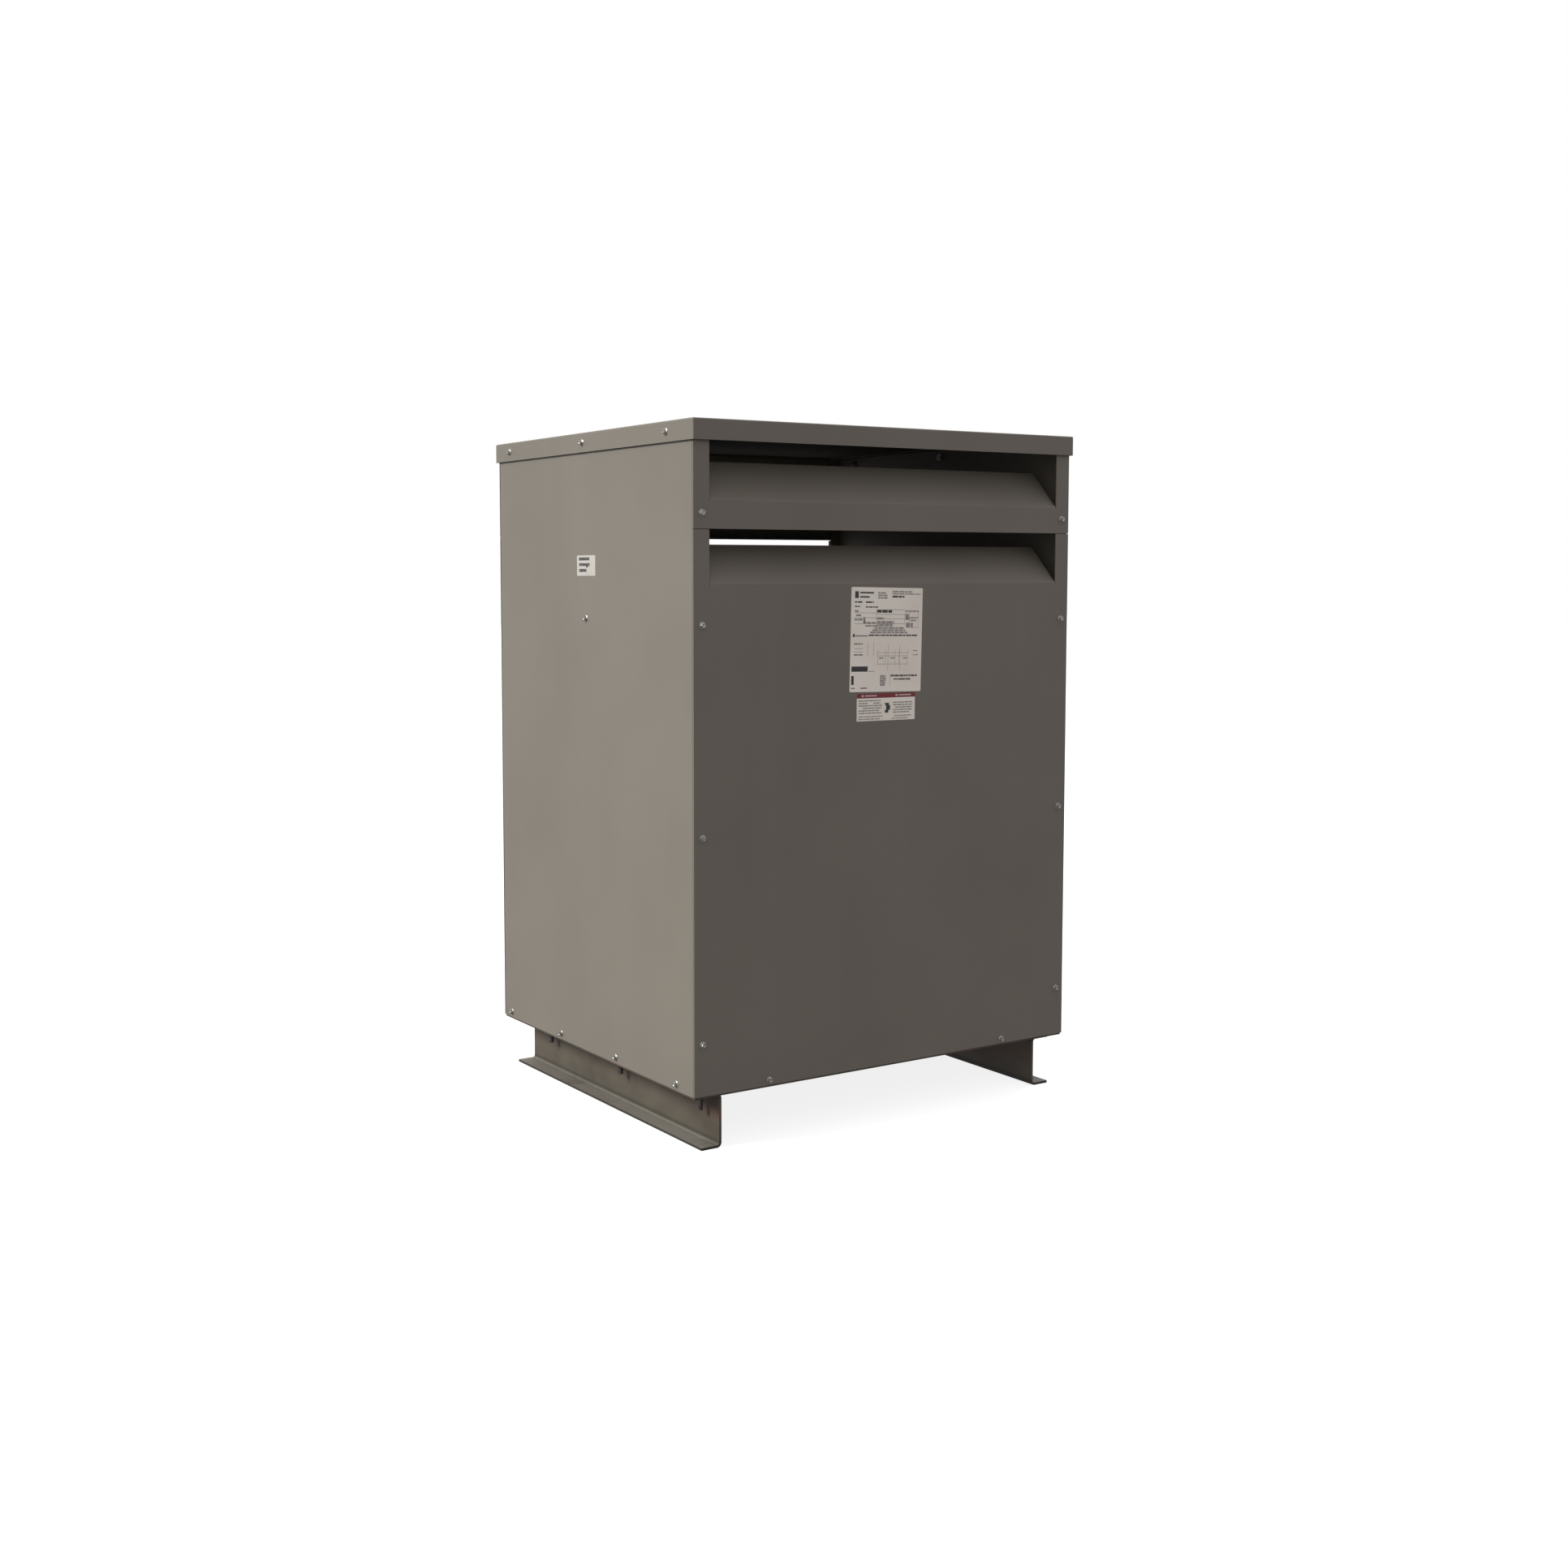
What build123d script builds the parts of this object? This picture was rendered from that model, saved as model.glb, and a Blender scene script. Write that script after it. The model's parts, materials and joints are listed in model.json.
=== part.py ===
from build123d import *

import os
from math import atan, tan

# Ventilated dry-type three-phase transformer in a sheet-steel cabinet on two channel feet.
# Millimetres. X runs along the front, the front faces -Y, Z is up, and the origin lies on
# the floor under the middle of the cabinet.

# cabinet
body_width = 810.0
body_depth = 690.0
overall_height = 1195.0
sheet = 2.0
sheet_bend = 3.0
seat_gap = 0.3
cover_edge_gap = 0.5
return_flange = 28.0
roof_lip = 34.3
roof_overhang_x = 4.0
roof_overhang_y = 6.5
roof_bend = 3.0
roof_edge_fillet = 2.5
flange_end_gap = 1.0

# feet and floor pan
foot_height = 91.5
foot_width = 39.5
foot_steel = 4.5
foot_bend = 9.0
foot_inset_x = 22.5
foot_inset_y = 13.6
pan_steel = 3.0
pan_rim = 33.0
pan_edge_gap = 3.0
pan_opening_half_x = 300.0
pan_opening_margin = 42.0
panel_clearance = 0.5

# louvered covers, measured down from the roof
seam_below_top = 175.5
upper_sill_above_seam = 47.5
lower_sill_below_seam = 87.5
cover_tuck = 29.0
opening_above_lip = 1.3
ear_width = 31.0
flap_depth = 62.0
flap_rise = 64.0
flap_relief = 1.0
flap_root = 9.0
hem_depth = 12.0

# cabinet screws, M6 with a flanged hexagon head
screw_r = 3.0
screw_length = 16.0
screw_head_af = 8.0
screw_head_height = 3.7
screw_head_chamfer = 0.6
screw_flange_r = 6.0
screw_flange_height = 1.2
screw_hole_r = 3.6
thread_clearance = 0.2
weld_nut_width = 12.0
weld_nut_height = 5.0
cover_screw_inset = 17.0
upper_screw_above_seam = 25.5
high_screw_below_sill = 67.0
low_screw_above_edge = 86.0
middle_screw_above_edge = 425.5
bottom_screw_above_edge = 8.0
bottom_screw_x = 256.0
side_screw_above_edge = 11.0
side_screw_start_y = -289.0
side_screw_pitch = 200.5
side_screws_per_panel = 4
roof_screw_start_y = -269.0
roof_screw_pitch = 281.0
roof_screws_per_side = 3
bracket_screw_y = 8.0
bracket_screw_height = 871.0
bracket_size = 36.0

# hexagon bolts and nuts, their sizes as shares of the shank's radius
bolt_flats = 3.2
bolt_head = 1.3
bolt_head_edge = 0.12
nut_height = 1.6
shank_end_chamfer = 0.8

# pan bolts, M10
pan_bolt_r = 5.0
bolt_tail = 3.0
foot_bolt_start_y = -295.0
foot_bolt_pitch = 264.0
foot_bolts_per_foot = 3
foot_bolt_tail = 22.0
bolt_hole_clearance = 0.4

# plates and labels
plate_thickness = 0.6
label_thickness = 0.3
nameplate_width = 154.0
nameplate_height = 178.0
nameplate_x = -14.0
nameplate_drop = 8.0
nameplate_tilt = 1.2
nameplate_corner = 2.0
label_corner = 1.0
warning_width = 126.0
warning_height = 47.0
warning_tilt = 0.4
label_gap = 2.3
side_label_width = 66.0
side_label_height = 36.0
side_label_y = 6.0
side_label_z = 963.5

# core
leg_width = 96.0
window_width = 140.0
window_height = 420.0
core_depth = 130.0
clamp_steel = 6.0
clamp_below_yoke = 6.0
clamp_flange = 45.0
clamp_past_core = 34.0
core_bolt_r = 6.0
yoke_hole_r = 7.0
clamp_past_yoke = 4.0

# core mounting
rail_top_width = 36.0
rail_brim = 20.0
rail_steel = 3.0
rail_rise = 25.0
rail_end_gap = 1.0
rail_strip_margin = 2.0
rail_y = 90.0
isolator_r = 20.0
isolator_height = 12.0
rail_bolt_x = 325.0

# windings, one set around each leg
former_gap = 3.0
former_wall = 3.0
winding_gap = 0.3
low_winding_build = 20.0
duct = 6.0
barrier_wall = 2.0
high_winding_build = 20.0
coil_end_clearance = 12.0
former_bend = 6.0
stick_width = 8.0
block_width = 36.0
block_depth = 44.0
block_offset = 52.0
block_web_gap = 6.0

# tap boards and high-voltage terminals
board_width = 78.0
board_height = 300.0
board_thickness = 6.0
board_standoff = 8.0
batten_width = 10.0
tap_count = 7
tap_pitch = 36.0
tap_stud_r = 4.0
tap_nut_height = 5.0
link_width = 16.0
link_thickness = 3.0
pad_thickness = 6.0
pad_width = 40.0
pad_edge = 16.0
pad_hole_r = 7.15
pad_hole_pitch = 44.45
pad_holes = 2
high_pad_length = 96.0
lead_r = 5.0
lead_run = 50.0
lead_drop = 16.0
lead_bend = 20.0

# low-voltage bars
bar_width = 50.0
bar_thickness = 6.0
bar_rise = 190.0
bar_clearance = 2.5
bus_board_height = 46.0
bus_board_thickness = 12.0
bus_board_past = 12.0
bracket_width = 30.0
bracket_steel = 5.0
bracket_foot = 30.0
bracket_inner_x = 60.0
neutral_clearance = 6.0

# earthing and lifting
ground_bar_length = 130.0
ground_bar_width = 25.0
ground_bar_thickness = 6.0
ground_bar_x = 322.0
ground_holes = 4
ground_hole_pitch = 25.0
ground_hole_r = 4.3
ground_standoff = 18.0
ground_standoff_r = 9.0
ground_standoff_inset = 12.0
ground_clearance = 8.0
lug_width = 50.0
lug_inner_x = 140.0
lug_rise = 66.0
lug_hole_r = 15.0
strap_width = 25.0
strap_thickness = 2.0

# how far a cutting tool runs past what it cuts
cut_past = 1.0

# places that follow from the sizes above
side_x = body_width / 2
front_y = body_depth / 2
frame_y = front_y - sheet - seat_gap
roof_under = overall_height - sheet
lip_bottom = overall_height - roof_lip
pan_top = foot_height + pan_steel
panel_bottom = pan_top + panel_clearance
pan_x = side_x - sheet
seam = overall_height - seam_below_top
upper_sill = seam + upper_sill_above_seam
lower_sill = seam - lower_sill_below_seam
opening_x = side_x - ear_width
foot_outer_x = side_x - foot_inset_x
foot_inner_x = foot_outer_x - foot_width
foot_bolt_x = foot_inner_x + foot_width / 2
foot_half_length = front_y - foot_inset_y
cover_screw_x = side_x - cover_screw_inset
roof_x = side_x + roof_overhang_x
roof_y = front_y + roof_overhang_y
roof_screw_z = overall_height - roof_lip / 2
upper_screw_z = seam + upper_screw_above_seam
lower_screw_z = (
    panel_bottom + low_screw_above_edge,
    panel_bottom + middle_screw_above_edge,
    lower_sill - high_screw_below_sill,
)
bottom_screw_z = panel_bottom + bottom_screw_above_edge
side_screw_z = panel_bottom + side_screw_above_edge
side_screw_y = [side_screw_start_y + i * side_screw_pitch for i in range(side_screws_per_panel)]
roof_screw_y = [roof_screw_start_y + i * roof_screw_pitch for i in range(roof_screws_per_side)]
foot_bolt_y = [foot_bolt_start_y + i * foot_bolt_pitch for i in range(foot_bolts_per_foot)]
sides = {"left": -1, "right": 1}
faces = {"front": -1, "rear": 1}

rail_top = pan_top + rail_rise
rail_bolt_out = rail_top_width / 2 + rail_brim / 2
clamp_bottom = rail_top + isolator_height
core_bottom = clamp_bottom + clamp_past_yoke
core_width = 3 * leg_width + 2 * window_width
core_height = window_height + 2 * leg_width
core_top = core_bottom + core_height
clamp_height = leg_width - clamp_below_yoke
leg_pitch = leg_width + window_width
isolator_x = leg_pitch
upper_clamp_bottom = core_top + clamp_past_yoke - clamp_height
clamp_length = core_width + 2 * clamp_past_core
clamp_face_y = core_depth / 2
clamp_edge_y = clamp_face_y + clamp_flange
coil_bottom = core_bottom + leg_width + coil_end_clearance
coil_top = core_top - leg_width - coil_end_clearance
coil_x = {"left": -leg_pitch, "centre": 0.0, "right": leg_pitch}

former_out = former_gap + former_wall
low_in = former_out + winding_gap
low_out = low_in + low_winding_build
barrier_in = low_out + duct
barrier_out = barrier_in + barrier_wall
high_in = barrier_out + duct
high_out = high_in + high_winding_build
coil_half_x = leg_width / 2 + high_out
coil_half_y = core_depth / 2 + high_out
board_back_y = coil_half_y + board_standoff
board_face_y = board_back_y + board_thickness
board_middle = (coil_bottom + coil_top) / 2
link_y = board_face_y + tap_nut_height
bus_y = clamp_edge_y + bracket_steel

os.makedirs("parts", exist_ok=True)


def save(piece, name):
    piece.part.label = name
    export_step(piece.part, f"parts/{name}.step")


# a plain block between two limits on each axis, joined to or cut from the piece being made
def block(x, y, z, mode=Mode.ADD):
    middle = ((x[0] + x[1]) / 2, (y[0] + y[1]) / 2, (z[0] + z[1]) / 2)
    with Locations(middle):
        Box(abs(x[1] - x[0]), abs(y[1] - y[0]), abs(z[1] - z[0]), mode=mode)


# a hole or a rod along one axis, centred on a point
def rod(centre, direction, radius, length, mode=Mode.ADD):
    with Locations(Plane(centre, z_dir=direction)):
        Cylinder(radius, length, mode=mode)


# a hole through a wall of the given thickness
def pierce(centre, direction, radius, wall):
    rod(centre, direction, radius, 4 * wall, Mode.SUBTRACT)


# a limit pair mirrored to the other side when the sign is negative
def span(sign, low, high):
    return (sign * low, sign * high)


# a rounded ring around a core leg, the given distances outside the leg's faces
def leg_ring(inside, outside, bottom, top):
    with BuildPart() as ring:
        with BuildSketch(Plane.XY.offset(bottom)):
            RectangleRounded(
                leg_width + 2 * outside, core_depth + 2 * outside, former_bend + outside
            )
            RectangleRounded(
                leg_width + 2 * inside, core_depth + 2 * inside, former_bend + inside,
                mode=Mode.SUBTRACT,
            )
        extrude(amount=top - bottom)
    return ring.part


# a hexagon head or nut standing on z = 0
def hexagon(across_flats, height, bore=0.0):
    with BuildPart() as head:
        with BuildSketch():
            RegularPolygon(across_flats / 2, 6, major_radius=False)
            if bore:
                Circle(bore, mode=Mode.SUBTRACT)
        extrude(amount=height)
    return head.part


# a hexagon bolt: the head stands on z = 0 and the shank hangs below
def hex_bolt(radius, length):
    with BuildPart() as bolt:
        add(hexagon(bolt_flats * radius, bolt_head * radius))
        chamfer(bolt.faces().sort_by(Axis.Z)[-1].edges(), bolt_head_edge * radius)
        with Locations((0, 0, -length / 2)):
            Cylinder(radius, length)
        chamfer(bolt.faces().sort_by(Axis.Z)[0].edges(), shank_end_chamfer)
    return bolt.part


# a hexagon nut lying on z = 0 around a shank of the given radius
def hex_nut(radius):
    return hexagon(bolt_flats * radius, nut_height * radius, radius + thread_clearance)


# the cabinet screw: hexagon on a round flange, with the shank below
with BuildPart() as cabinet_screw:
    Cylinder(
        screw_flange_r, screw_flange_height, align=(Align.CENTER, Align.CENTER, Align.MIN)
    )
    with BuildSketch(Plane.XY.offset(screw_flange_height)):
        RegularPolygon(screw_head_af / 2, 6, major_radius=False)
    extrude(amount=screw_head_height)
    chamfer(cabinet_screw.faces().sort_by(Axis.Z)[-1].edges(), screw_head_chamfer)
    Cylinder(screw_r, screw_length, align=(Align.CENTER, Align.CENTER, Align.MAX))

# the square nut welded behind a sheet, lying on z = 0
with BuildPart() as weld_nut:
    with BuildSketch():
        Rectangle(weld_nut_width, weld_nut_width)
        Circle(screw_r + thread_clearance, mode=Mode.SUBTRACT)
    extrude(amount=weld_nut_height)


# screws pushed in against `normal`, their heads seated on the given points
def place_screws(points, normal):
    for point in points:
        with Locations(Plane(point, z_dir=normal)):
            add(cabinet_screw.part)


# feet: steel channels open to the outside, their ends inside the cabinet's outline
for side, sign in sides.items():
    with BuildPart() as foot:
        with BuildSketch(Plane.XZ.offset(-foot_half_length)):
            with BuildLine():
                FilletPolyline(
                    (sign * foot_outer_x, foot_height),
                    (sign * foot_inner_x, foot_height),
                    (sign * foot_inner_x, 0),
                    (sign * foot_outer_x, 0),
                    radius=foot_bend,
                )
                offset(amount=foot_steel, side=Side.LEFT if sign > 0 else Side.RIGHT)
            make_face()
        extrude(amount=2 * foot_half_length)
        for y in foot_bolt_y:
            top = (sign * foot_bolt_x, y, foot_height)
            pierce(top, (0, 0, 1), pan_bolt_r + bolt_hole_clearance, foot_steel)
    save(foot, f"{side}_foot")

# floor pan: a sheet with a turned-up rim and three openings for air and conduits
rail_half_width = rail_top_width / 2 + rail_brim
strip_y = rail_y + rail_half_width + rail_strip_margin
inner_strip_y = rail_y - rail_half_width - rail_strip_margin
pan_opening_y = frame_y - pan_opening_margin
with BuildPart() as floor_pan:
    block((-pan_x, pan_x), (-frame_y, frame_y), (foot_height, pan_top))
    for sign in (-1, 1):
        rim_z = (pan_top, foot_height + pan_rim)
        rim_x = opening_x
        block((-rim_x, rim_x), span(sign, frame_y - pan_steel, frame_y), rim_z)
        rim_y = frame_y - sheet - pan_edge_gap
        block(span(sign, pan_x - pan_steel, pan_x), (-rim_y, rim_y), rim_z)
    open_x = (-pan_opening_half_x, pan_opening_half_x)
    floor_z = (foot_height - cut_past, pan_top + cut_past)
    block(open_x, (-inner_strip_y, inner_strip_y), floor_z, Mode.SUBTRACT)
    for sign in (-1, 1):
        block(open_x, span(sign, strip_y, pan_opening_y), floor_z, Mode.SUBTRACT)
        for y in foot_bolt_y:
            hole = (sign * foot_bolt_x, y, pan_top)
            pierce(hole, (0, 0, 1), pan_bolt_r + bolt_hole_clearance, pan_steel)
        for y in side_screw_y:
            hole = (sign * pan_x, y, side_screw_z)
            pierce(hole, (1, 0, 0), screw_hole_r, pan_steel)
        for x in (-bottom_screw_x, bottom_screw_x):
            hole = (x, sign * frame_y, bottom_screw_z)
            pierce(hole, (0, 1, 0), screw_hole_r, pan_steel)
        for x in (-rail_bolt_x, rail_bolt_x):
            for y in (rail_y - rail_bolt_out, rail_y + rail_bolt_out):
                hole = (x, sign * y, pan_top)
                pierce(hole, (0, 0, 1), pan_bolt_r + bolt_hole_clearance, pan_steel)
save(floor_pan, "floor_pan")

# M10 bolts through the pan, into the feet with nuts under the flange, and through the rails
foot_points = [(sign * foot_bolt_x, y) for sign in (-1, 1) for y in foot_bolt_y]
rail_rows = (rail_y - rail_bolt_out, rail_y + rail_bolt_out)
rail_points = [
    (x, sign * y) for x in (-rail_bolt_x, rail_bolt_x) for sign in (-1, 1) for y in rail_rows
]
pan_nut_height = nut_height * pan_bolt_r
foot_bolt = hex_bolt(pan_bolt_r, pan_steel + foot_steel + pan_nut_height + foot_bolt_tail)
rail_bolt = hex_bolt(pan_bolt_r, rail_steel + pan_steel + pan_nut_height + bolt_tail)
with BuildPart() as pan_bolts:
    with Locations(*[(x, y, pan_top) for x, y in foot_points]):
        add(foot_bolt)
    with Locations(*[(x, y, pan_top + rail_steel) for x, y in rail_points]):
        add(rail_bolt)
save(pan_bolts, "pan_bolts")
pan_nut = hex_nut(pan_bolt_r)
with BuildPart() as pan_nuts:
    with Locations(*[(x, y, foot_height - foot_steel - pan_nut_height) for x, y in foot_points]):
        add(pan_nut)
    with Locations(*[(x, y, foot_height - pan_nut_height) for x, y in rail_points]):
        add(pan_nut)
save(pan_nuts, "pan_nuts")

# side panels: a sheet folded round both corners, with a flange under the roof
for side, sign in sides.items():
    with BuildPart() as side_panel:
        with BuildSketch(Plane.XY.offset(panel_bottom)):
            with BuildLine():
                FilletPolyline(
                    (sign * (side_x - return_flange), -frame_y),
                    (sign * side_x, -frame_y),
                    (sign * side_x, frame_y),
                    (sign * (side_x - return_flange), frame_y),
                    radius=sheet_bend,
                )
                offset(amount=sheet, side=Side.LEFT if sign > 0 else Side.RIGHT)
            make_face()
        extrude(amount=roof_under - panel_bottom)
        flange_y = frame_y - sheet - flange_end_gap
        flange_x = span(sign, side_x - return_flange, side_x - sheet)
        block(flange_x, (-flange_y, flange_y), (roof_under - sheet, roof_under))
        for face in (-1, 1):
            for z in (upper_screw_z, *lower_screw_z):
                hole = (sign * cover_screw_x, face * frame_y, z)
                pierce(hole, (0, 1, 0), screw_hole_r, sheet)
        holes = [(y, side_screw_z) for y in side_screw_y]
        holes += [(y, roof_screw_z) for y in roof_screw_y]
        if side == "left":
            holes.append((bracket_screw_y, bracket_screw_height))
        for y, z in holes:
            pierce((sign * side_x, y, z), (1, 0, 0), screw_hole_r, sheet)
    save(side_panel, f"{side}_side_panel")


# the strip of a cover that turns inward and up into an air deflector; `points` follow its
# outer face in the plane of depth and height
def deflector(points, half_width):
    with BuildPart() as flap:
        with BuildSketch(Plane.YZ.offset(-half_width)):
            with BuildLine():
                FilletPolyline(*points, radius=sheet_bend)
                offset(amount=sheet, side=Side.RIGHT)
            make_face()
        extrude(amount=2 * half_width)
    return flap.part


flap_start = sheet_bend * tan(atan(flap_depth / flap_rise) / 2) + cut_past
flap_half_x = opening_x - flap_relief
cover_x = side_x - cover_edge_gap

# upper covers: a frame round the upper louver opening, tucked behind the roof's lip
upper_top = lip_bottom + cover_tuck
with BuildPart() as upper_cover:
    block((-cover_x, cover_x), (-front_y, -front_y + sheet), (seam + cover_edge_gap, upper_top))
    block(
        (-opening_x, opening_x), (-front_y - cut_past, -front_y + sheet + cut_past),
        (seam + cover_edge_gap, lip_bottom + opening_above_lip), Mode.SUBTRACT,
    )
    block(
        (-opening_x, opening_x), (-front_y, -front_y + sheet),
        (seam + cover_edge_gap, upper_sill - flap_start),
    )
    add(deflector(
        [
            (-front_y + hem_depth, seam + cover_edge_gap),
            (-front_y, seam + cover_edge_gap),
            (-front_y, upper_sill),
            (-front_y + flap_depth, upper_sill + flap_rise),
        ],
        flap_half_x,
    ))
    for x in (-cover_screw_x, cover_screw_x):
        pierce((x, -front_y, upper_screw_z), (0, 1, 0), screw_hole_r, sheet)

# lower covers: the access panel, with an ear each side of the lower louver opening
with BuildPart() as lower_cover:
    block((-cover_x, cover_x), (-front_y, -front_y + sheet), (panel_bottom, seam - cover_edge_gap))
    block(
        (-opening_x, opening_x), (-front_y - cut_past, -front_y + sheet + cut_past),
        (lower_sill - flap_start, seam), Mode.SUBTRACT,
    )
    add(deflector(
        [
            (-front_y, lower_sill - flap_root),
            (-front_y, lower_sill),
            (-front_y + flap_depth, lower_sill + flap_rise),
        ],
        flap_half_x,
    ))
    for x in (-cover_screw_x, cover_screw_x):
        for z in lower_screw_z:
            pierce((x, -front_y, z), (0, 1, 0), screw_hole_r, sheet)
    for x in (-bottom_screw_x, bottom_screw_x):
        pierce((x, -front_y, bottom_screw_z), (0, 1, 0), screw_hole_r, sheet)

# the rear covers are the front ones turned half round
for face, turn in (("front", 0), ("rear", 180)):
    for name, cover in (("upper", upper_cover), ("lower", lower_cover)):
        with BuildPart() as turned_cover:
            with Locations(Location((0, 0, 0), (0, 0, turn))):
                add(cover.part)
        save(turned_cover, f"{face}_{name}_cover")

# screws of the access panels, which come off with their panel
corners = (-cover_screw_x, cover_screw_x)
for face, sign in faces.items():
    with BuildPart() as cover_screws:
        place_screws(
            [(x, sign * front_y, z) for x in corners for z in lower_screw_z], (0, sign, 0)
        )
        place_screws(
            [(x, sign * front_y, bottom_screw_z) for x in (-bottom_screw_x, bottom_screw_x)],
            (0, sign, 0),
        )
    save(cover_screws, f"{face}_lower_cover_screws")

# screws that stay in the cabinet: upper covers, roof lip, side panels and earth bracket
with BuildPart() as cabinet_screws:
    for sign in (-1, 1):
        place_screws([(x, sign * front_y, upper_screw_z) for x in corners], (0, sign, 0))
        place_screws([(sign * roof_x, y, roof_screw_z) for y in roof_screw_y], (sign, 0, 0))
        place_screws([(sign * side_x, y, side_screw_z) for y in side_screw_y], (sign, 0, 0))
    place_screws([(-side_x, bracket_screw_y, bracket_screw_height)], (-1, 0, 0))
save(cabinet_screws, "cabinet_screws")

# roof: a shallow tray turned over the cabinet, resting on the side panels' flanges
with BuildPart() as roof_cover:
    with BuildSketch(Plane.XY.offset(lip_bottom)):
        RectangleRounded(2 * roof_x, 2 * roof_y, roof_bend)
    extrude(amount=roof_lip)
    fillet(roof_cover.faces().sort_by(Axis.Z)[-1].edges(), roof_edge_fillet)
    with BuildSketch(Plane.XY.offset(lip_bottom)):
        RectangleRounded(2 * (roof_x - sheet), 2 * (roof_y - sheet), roof_bend - sheet)
    extrude(amount=roof_lip - sheet, mode=Mode.SUBTRACT)
    for sign in (-1, 1):
        for y in roof_screw_y:
            pierce((sign * roof_x, y, roof_screw_z), (1, 0, 0), screw_hole_r, sheet)
save(roof_cover, "roof_cover")

# weld nuts behind every cabinet screw
with BuildPart() as weld_nuts:
    for face in (-1, 1):
        for sign in (-1, 1):
            for z in (upper_screw_z, *lower_screw_z):
                seat = (sign * cover_screw_x, face * (frame_y - sheet), z)
                with Locations(Plane(seat, z_dir=(0, -face, 0), x_dir=(1, 0, 0))):
                    add(weld_nut.part)
            seat = (sign * bottom_screw_x, face * (frame_y - pan_steel), bottom_screw_z)
            with Locations(Plane(seat, z_dir=(0, -face, 0), x_dir=(1, 0, 0))):
                add(weld_nut.part)
    for sign in (-1, 1):
        for y in roof_screw_y:
            seat = (sign * (side_x - sheet), y, roof_screw_z)
            with Locations(Plane(seat, z_dir=(-sign, 0, 0), x_dir=(0, 1, 0))):
                add(weld_nut.part)
        for y in side_screw_y:
            seat = (sign * (pan_x - pan_steel), y, side_screw_z)
            with Locations(Plane(seat, z_dir=(-sign, 0, 0), x_dir=(0, 1, 0))):
                add(weld_nut.part)
save(weld_nuts, "weld_nuts")

# earth bracket: an angle inside the left panel with a stud hole for the case bond
with BuildPart() as earth_bracket:
    inner_x = -(side_x - sheet)
    middle_z = bracket_screw_height
    low_y = bracket_screw_y - bracket_size / 2
    high_y = bracket_screw_y + bracket_size / 2
    low_z = middle_z - bracket_size / 2
    high_z = middle_z + bracket_size / 2
    block((inner_x, inner_x + pan_steel), (low_y, high_y), (low_z, high_z))
    block((inner_x + pan_steel, inner_x + bracket_size), (low_y, high_y), (low_z, low_z + pan_steel))
    screw_hole = (inner_x, bracket_screw_y, middle_z)
    pierce(screw_hole, (1, 0, 0), screw_r + thread_clearance, pan_steel)
    stud_hole = (inner_x + (bracket_size + pan_steel) / 2, bracket_screw_y, low_z)
    pierce(stud_hole, (0, 0, 1), screw_hole_r, pan_steel)
save(earth_bracket, "earth_bracket")

# nameplate and warning label on the front access panel, rating sticker on the left side
nameplate_z = lower_sill - nameplate_drop - nameplate_height / 2
warning_z = nameplate_z - nameplate_height / 2 - label_gap - warning_height / 2
with BuildPart() as nameplate:
    face_plane = Plane((nameplate_x, -front_y, nameplate_z), x_dir=(1, 0, 0), z_dir=(0, -1, 0))
    with BuildSketch(face_plane):
        RectangleRounded(
            nameplate_width, nameplate_height, nameplate_corner, rotation=-nameplate_tilt
        )
    extrude(amount=plate_thickness)
save(nameplate, "nameplate")
with BuildPart() as warning_label:
    face_plane = Plane((nameplate_x, -front_y, warning_z), x_dir=(1, 0, 0), z_dir=(0, -1, 0))
    with BuildSketch(face_plane):
        RectangleRounded(warning_width, warning_height, label_corner, rotation=-warning_tilt)
    extrude(amount=label_thickness)
save(warning_label, "warning_label")
with BuildPart() as side_label:
    side_plane = Plane((-side_x, side_label_y, side_label_z), x_dir=(0, -1, 0), z_dir=(-1, 0, 0))
    with BuildSketch(side_plane):
        RectangleRounded(side_label_width, side_label_height, label_corner)
    extrude(amount=label_thickness)
save(side_label, "side_label")

# core: stacked laminations with mitred outer joints and a pointed centre leg
half_core = core_width / 2
half_leg = leg_width / 2
window_low = core_bottom + leg_width
window_high = core_top - leg_width
yoke_hole_x = leg_pitch / 2


# a stack of laminations cut to the outline, which is given in X and Z
def lamination_stack(outline):
    with BuildPart() as stack:
        with BuildSketch(Plane.XZ.offset(-core_depth / 2)):
            with BuildLine():
                Polyline(*outline, close=True)
            make_face()
        extrude(amount=core_depth)
    return stack.part


for name, base, up in (("lower", core_bottom, 1), ("upper", core_top, -1)):
    inner = base + up * leg_width
    notch = base + up * half_leg
    with BuildPart() as yoke:
        add(lamination_stack([
            (-half_core, base), (half_core, base), (half_core - leg_width, inner),
            (half_leg, inner), (0, notch), (-half_leg, inner), (-half_core + leg_width, inner),
        ]))
        for x in (-yoke_hole_x, yoke_hole_x):
            rod((x, 0, notch), (0, 1, 0), yoke_hole_r, 2 * core_depth, Mode.SUBTRACT)
    save(yoke, f"core_{name}_yoke")

for side, sign in sides.items():
    with BuildPart() as outer_leg:
        add(lamination_stack([
            (sign * half_core, core_bottom),
            (sign * (half_core - leg_width), window_low),
            (sign * (half_core - leg_width), window_high),
            (sign * half_core, core_top),
        ]))
    save(outer_leg, f"core_{side}_leg")

with BuildPart() as centre_leg:
    add(lamination_stack([
        (0, core_bottom + half_leg), (half_leg, window_low), (half_leg, window_high),
        (0, core_top - half_leg), (-half_leg, window_high), (-half_leg, window_low),
    ]))
save(centre_leg, "core_centre_leg")

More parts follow.
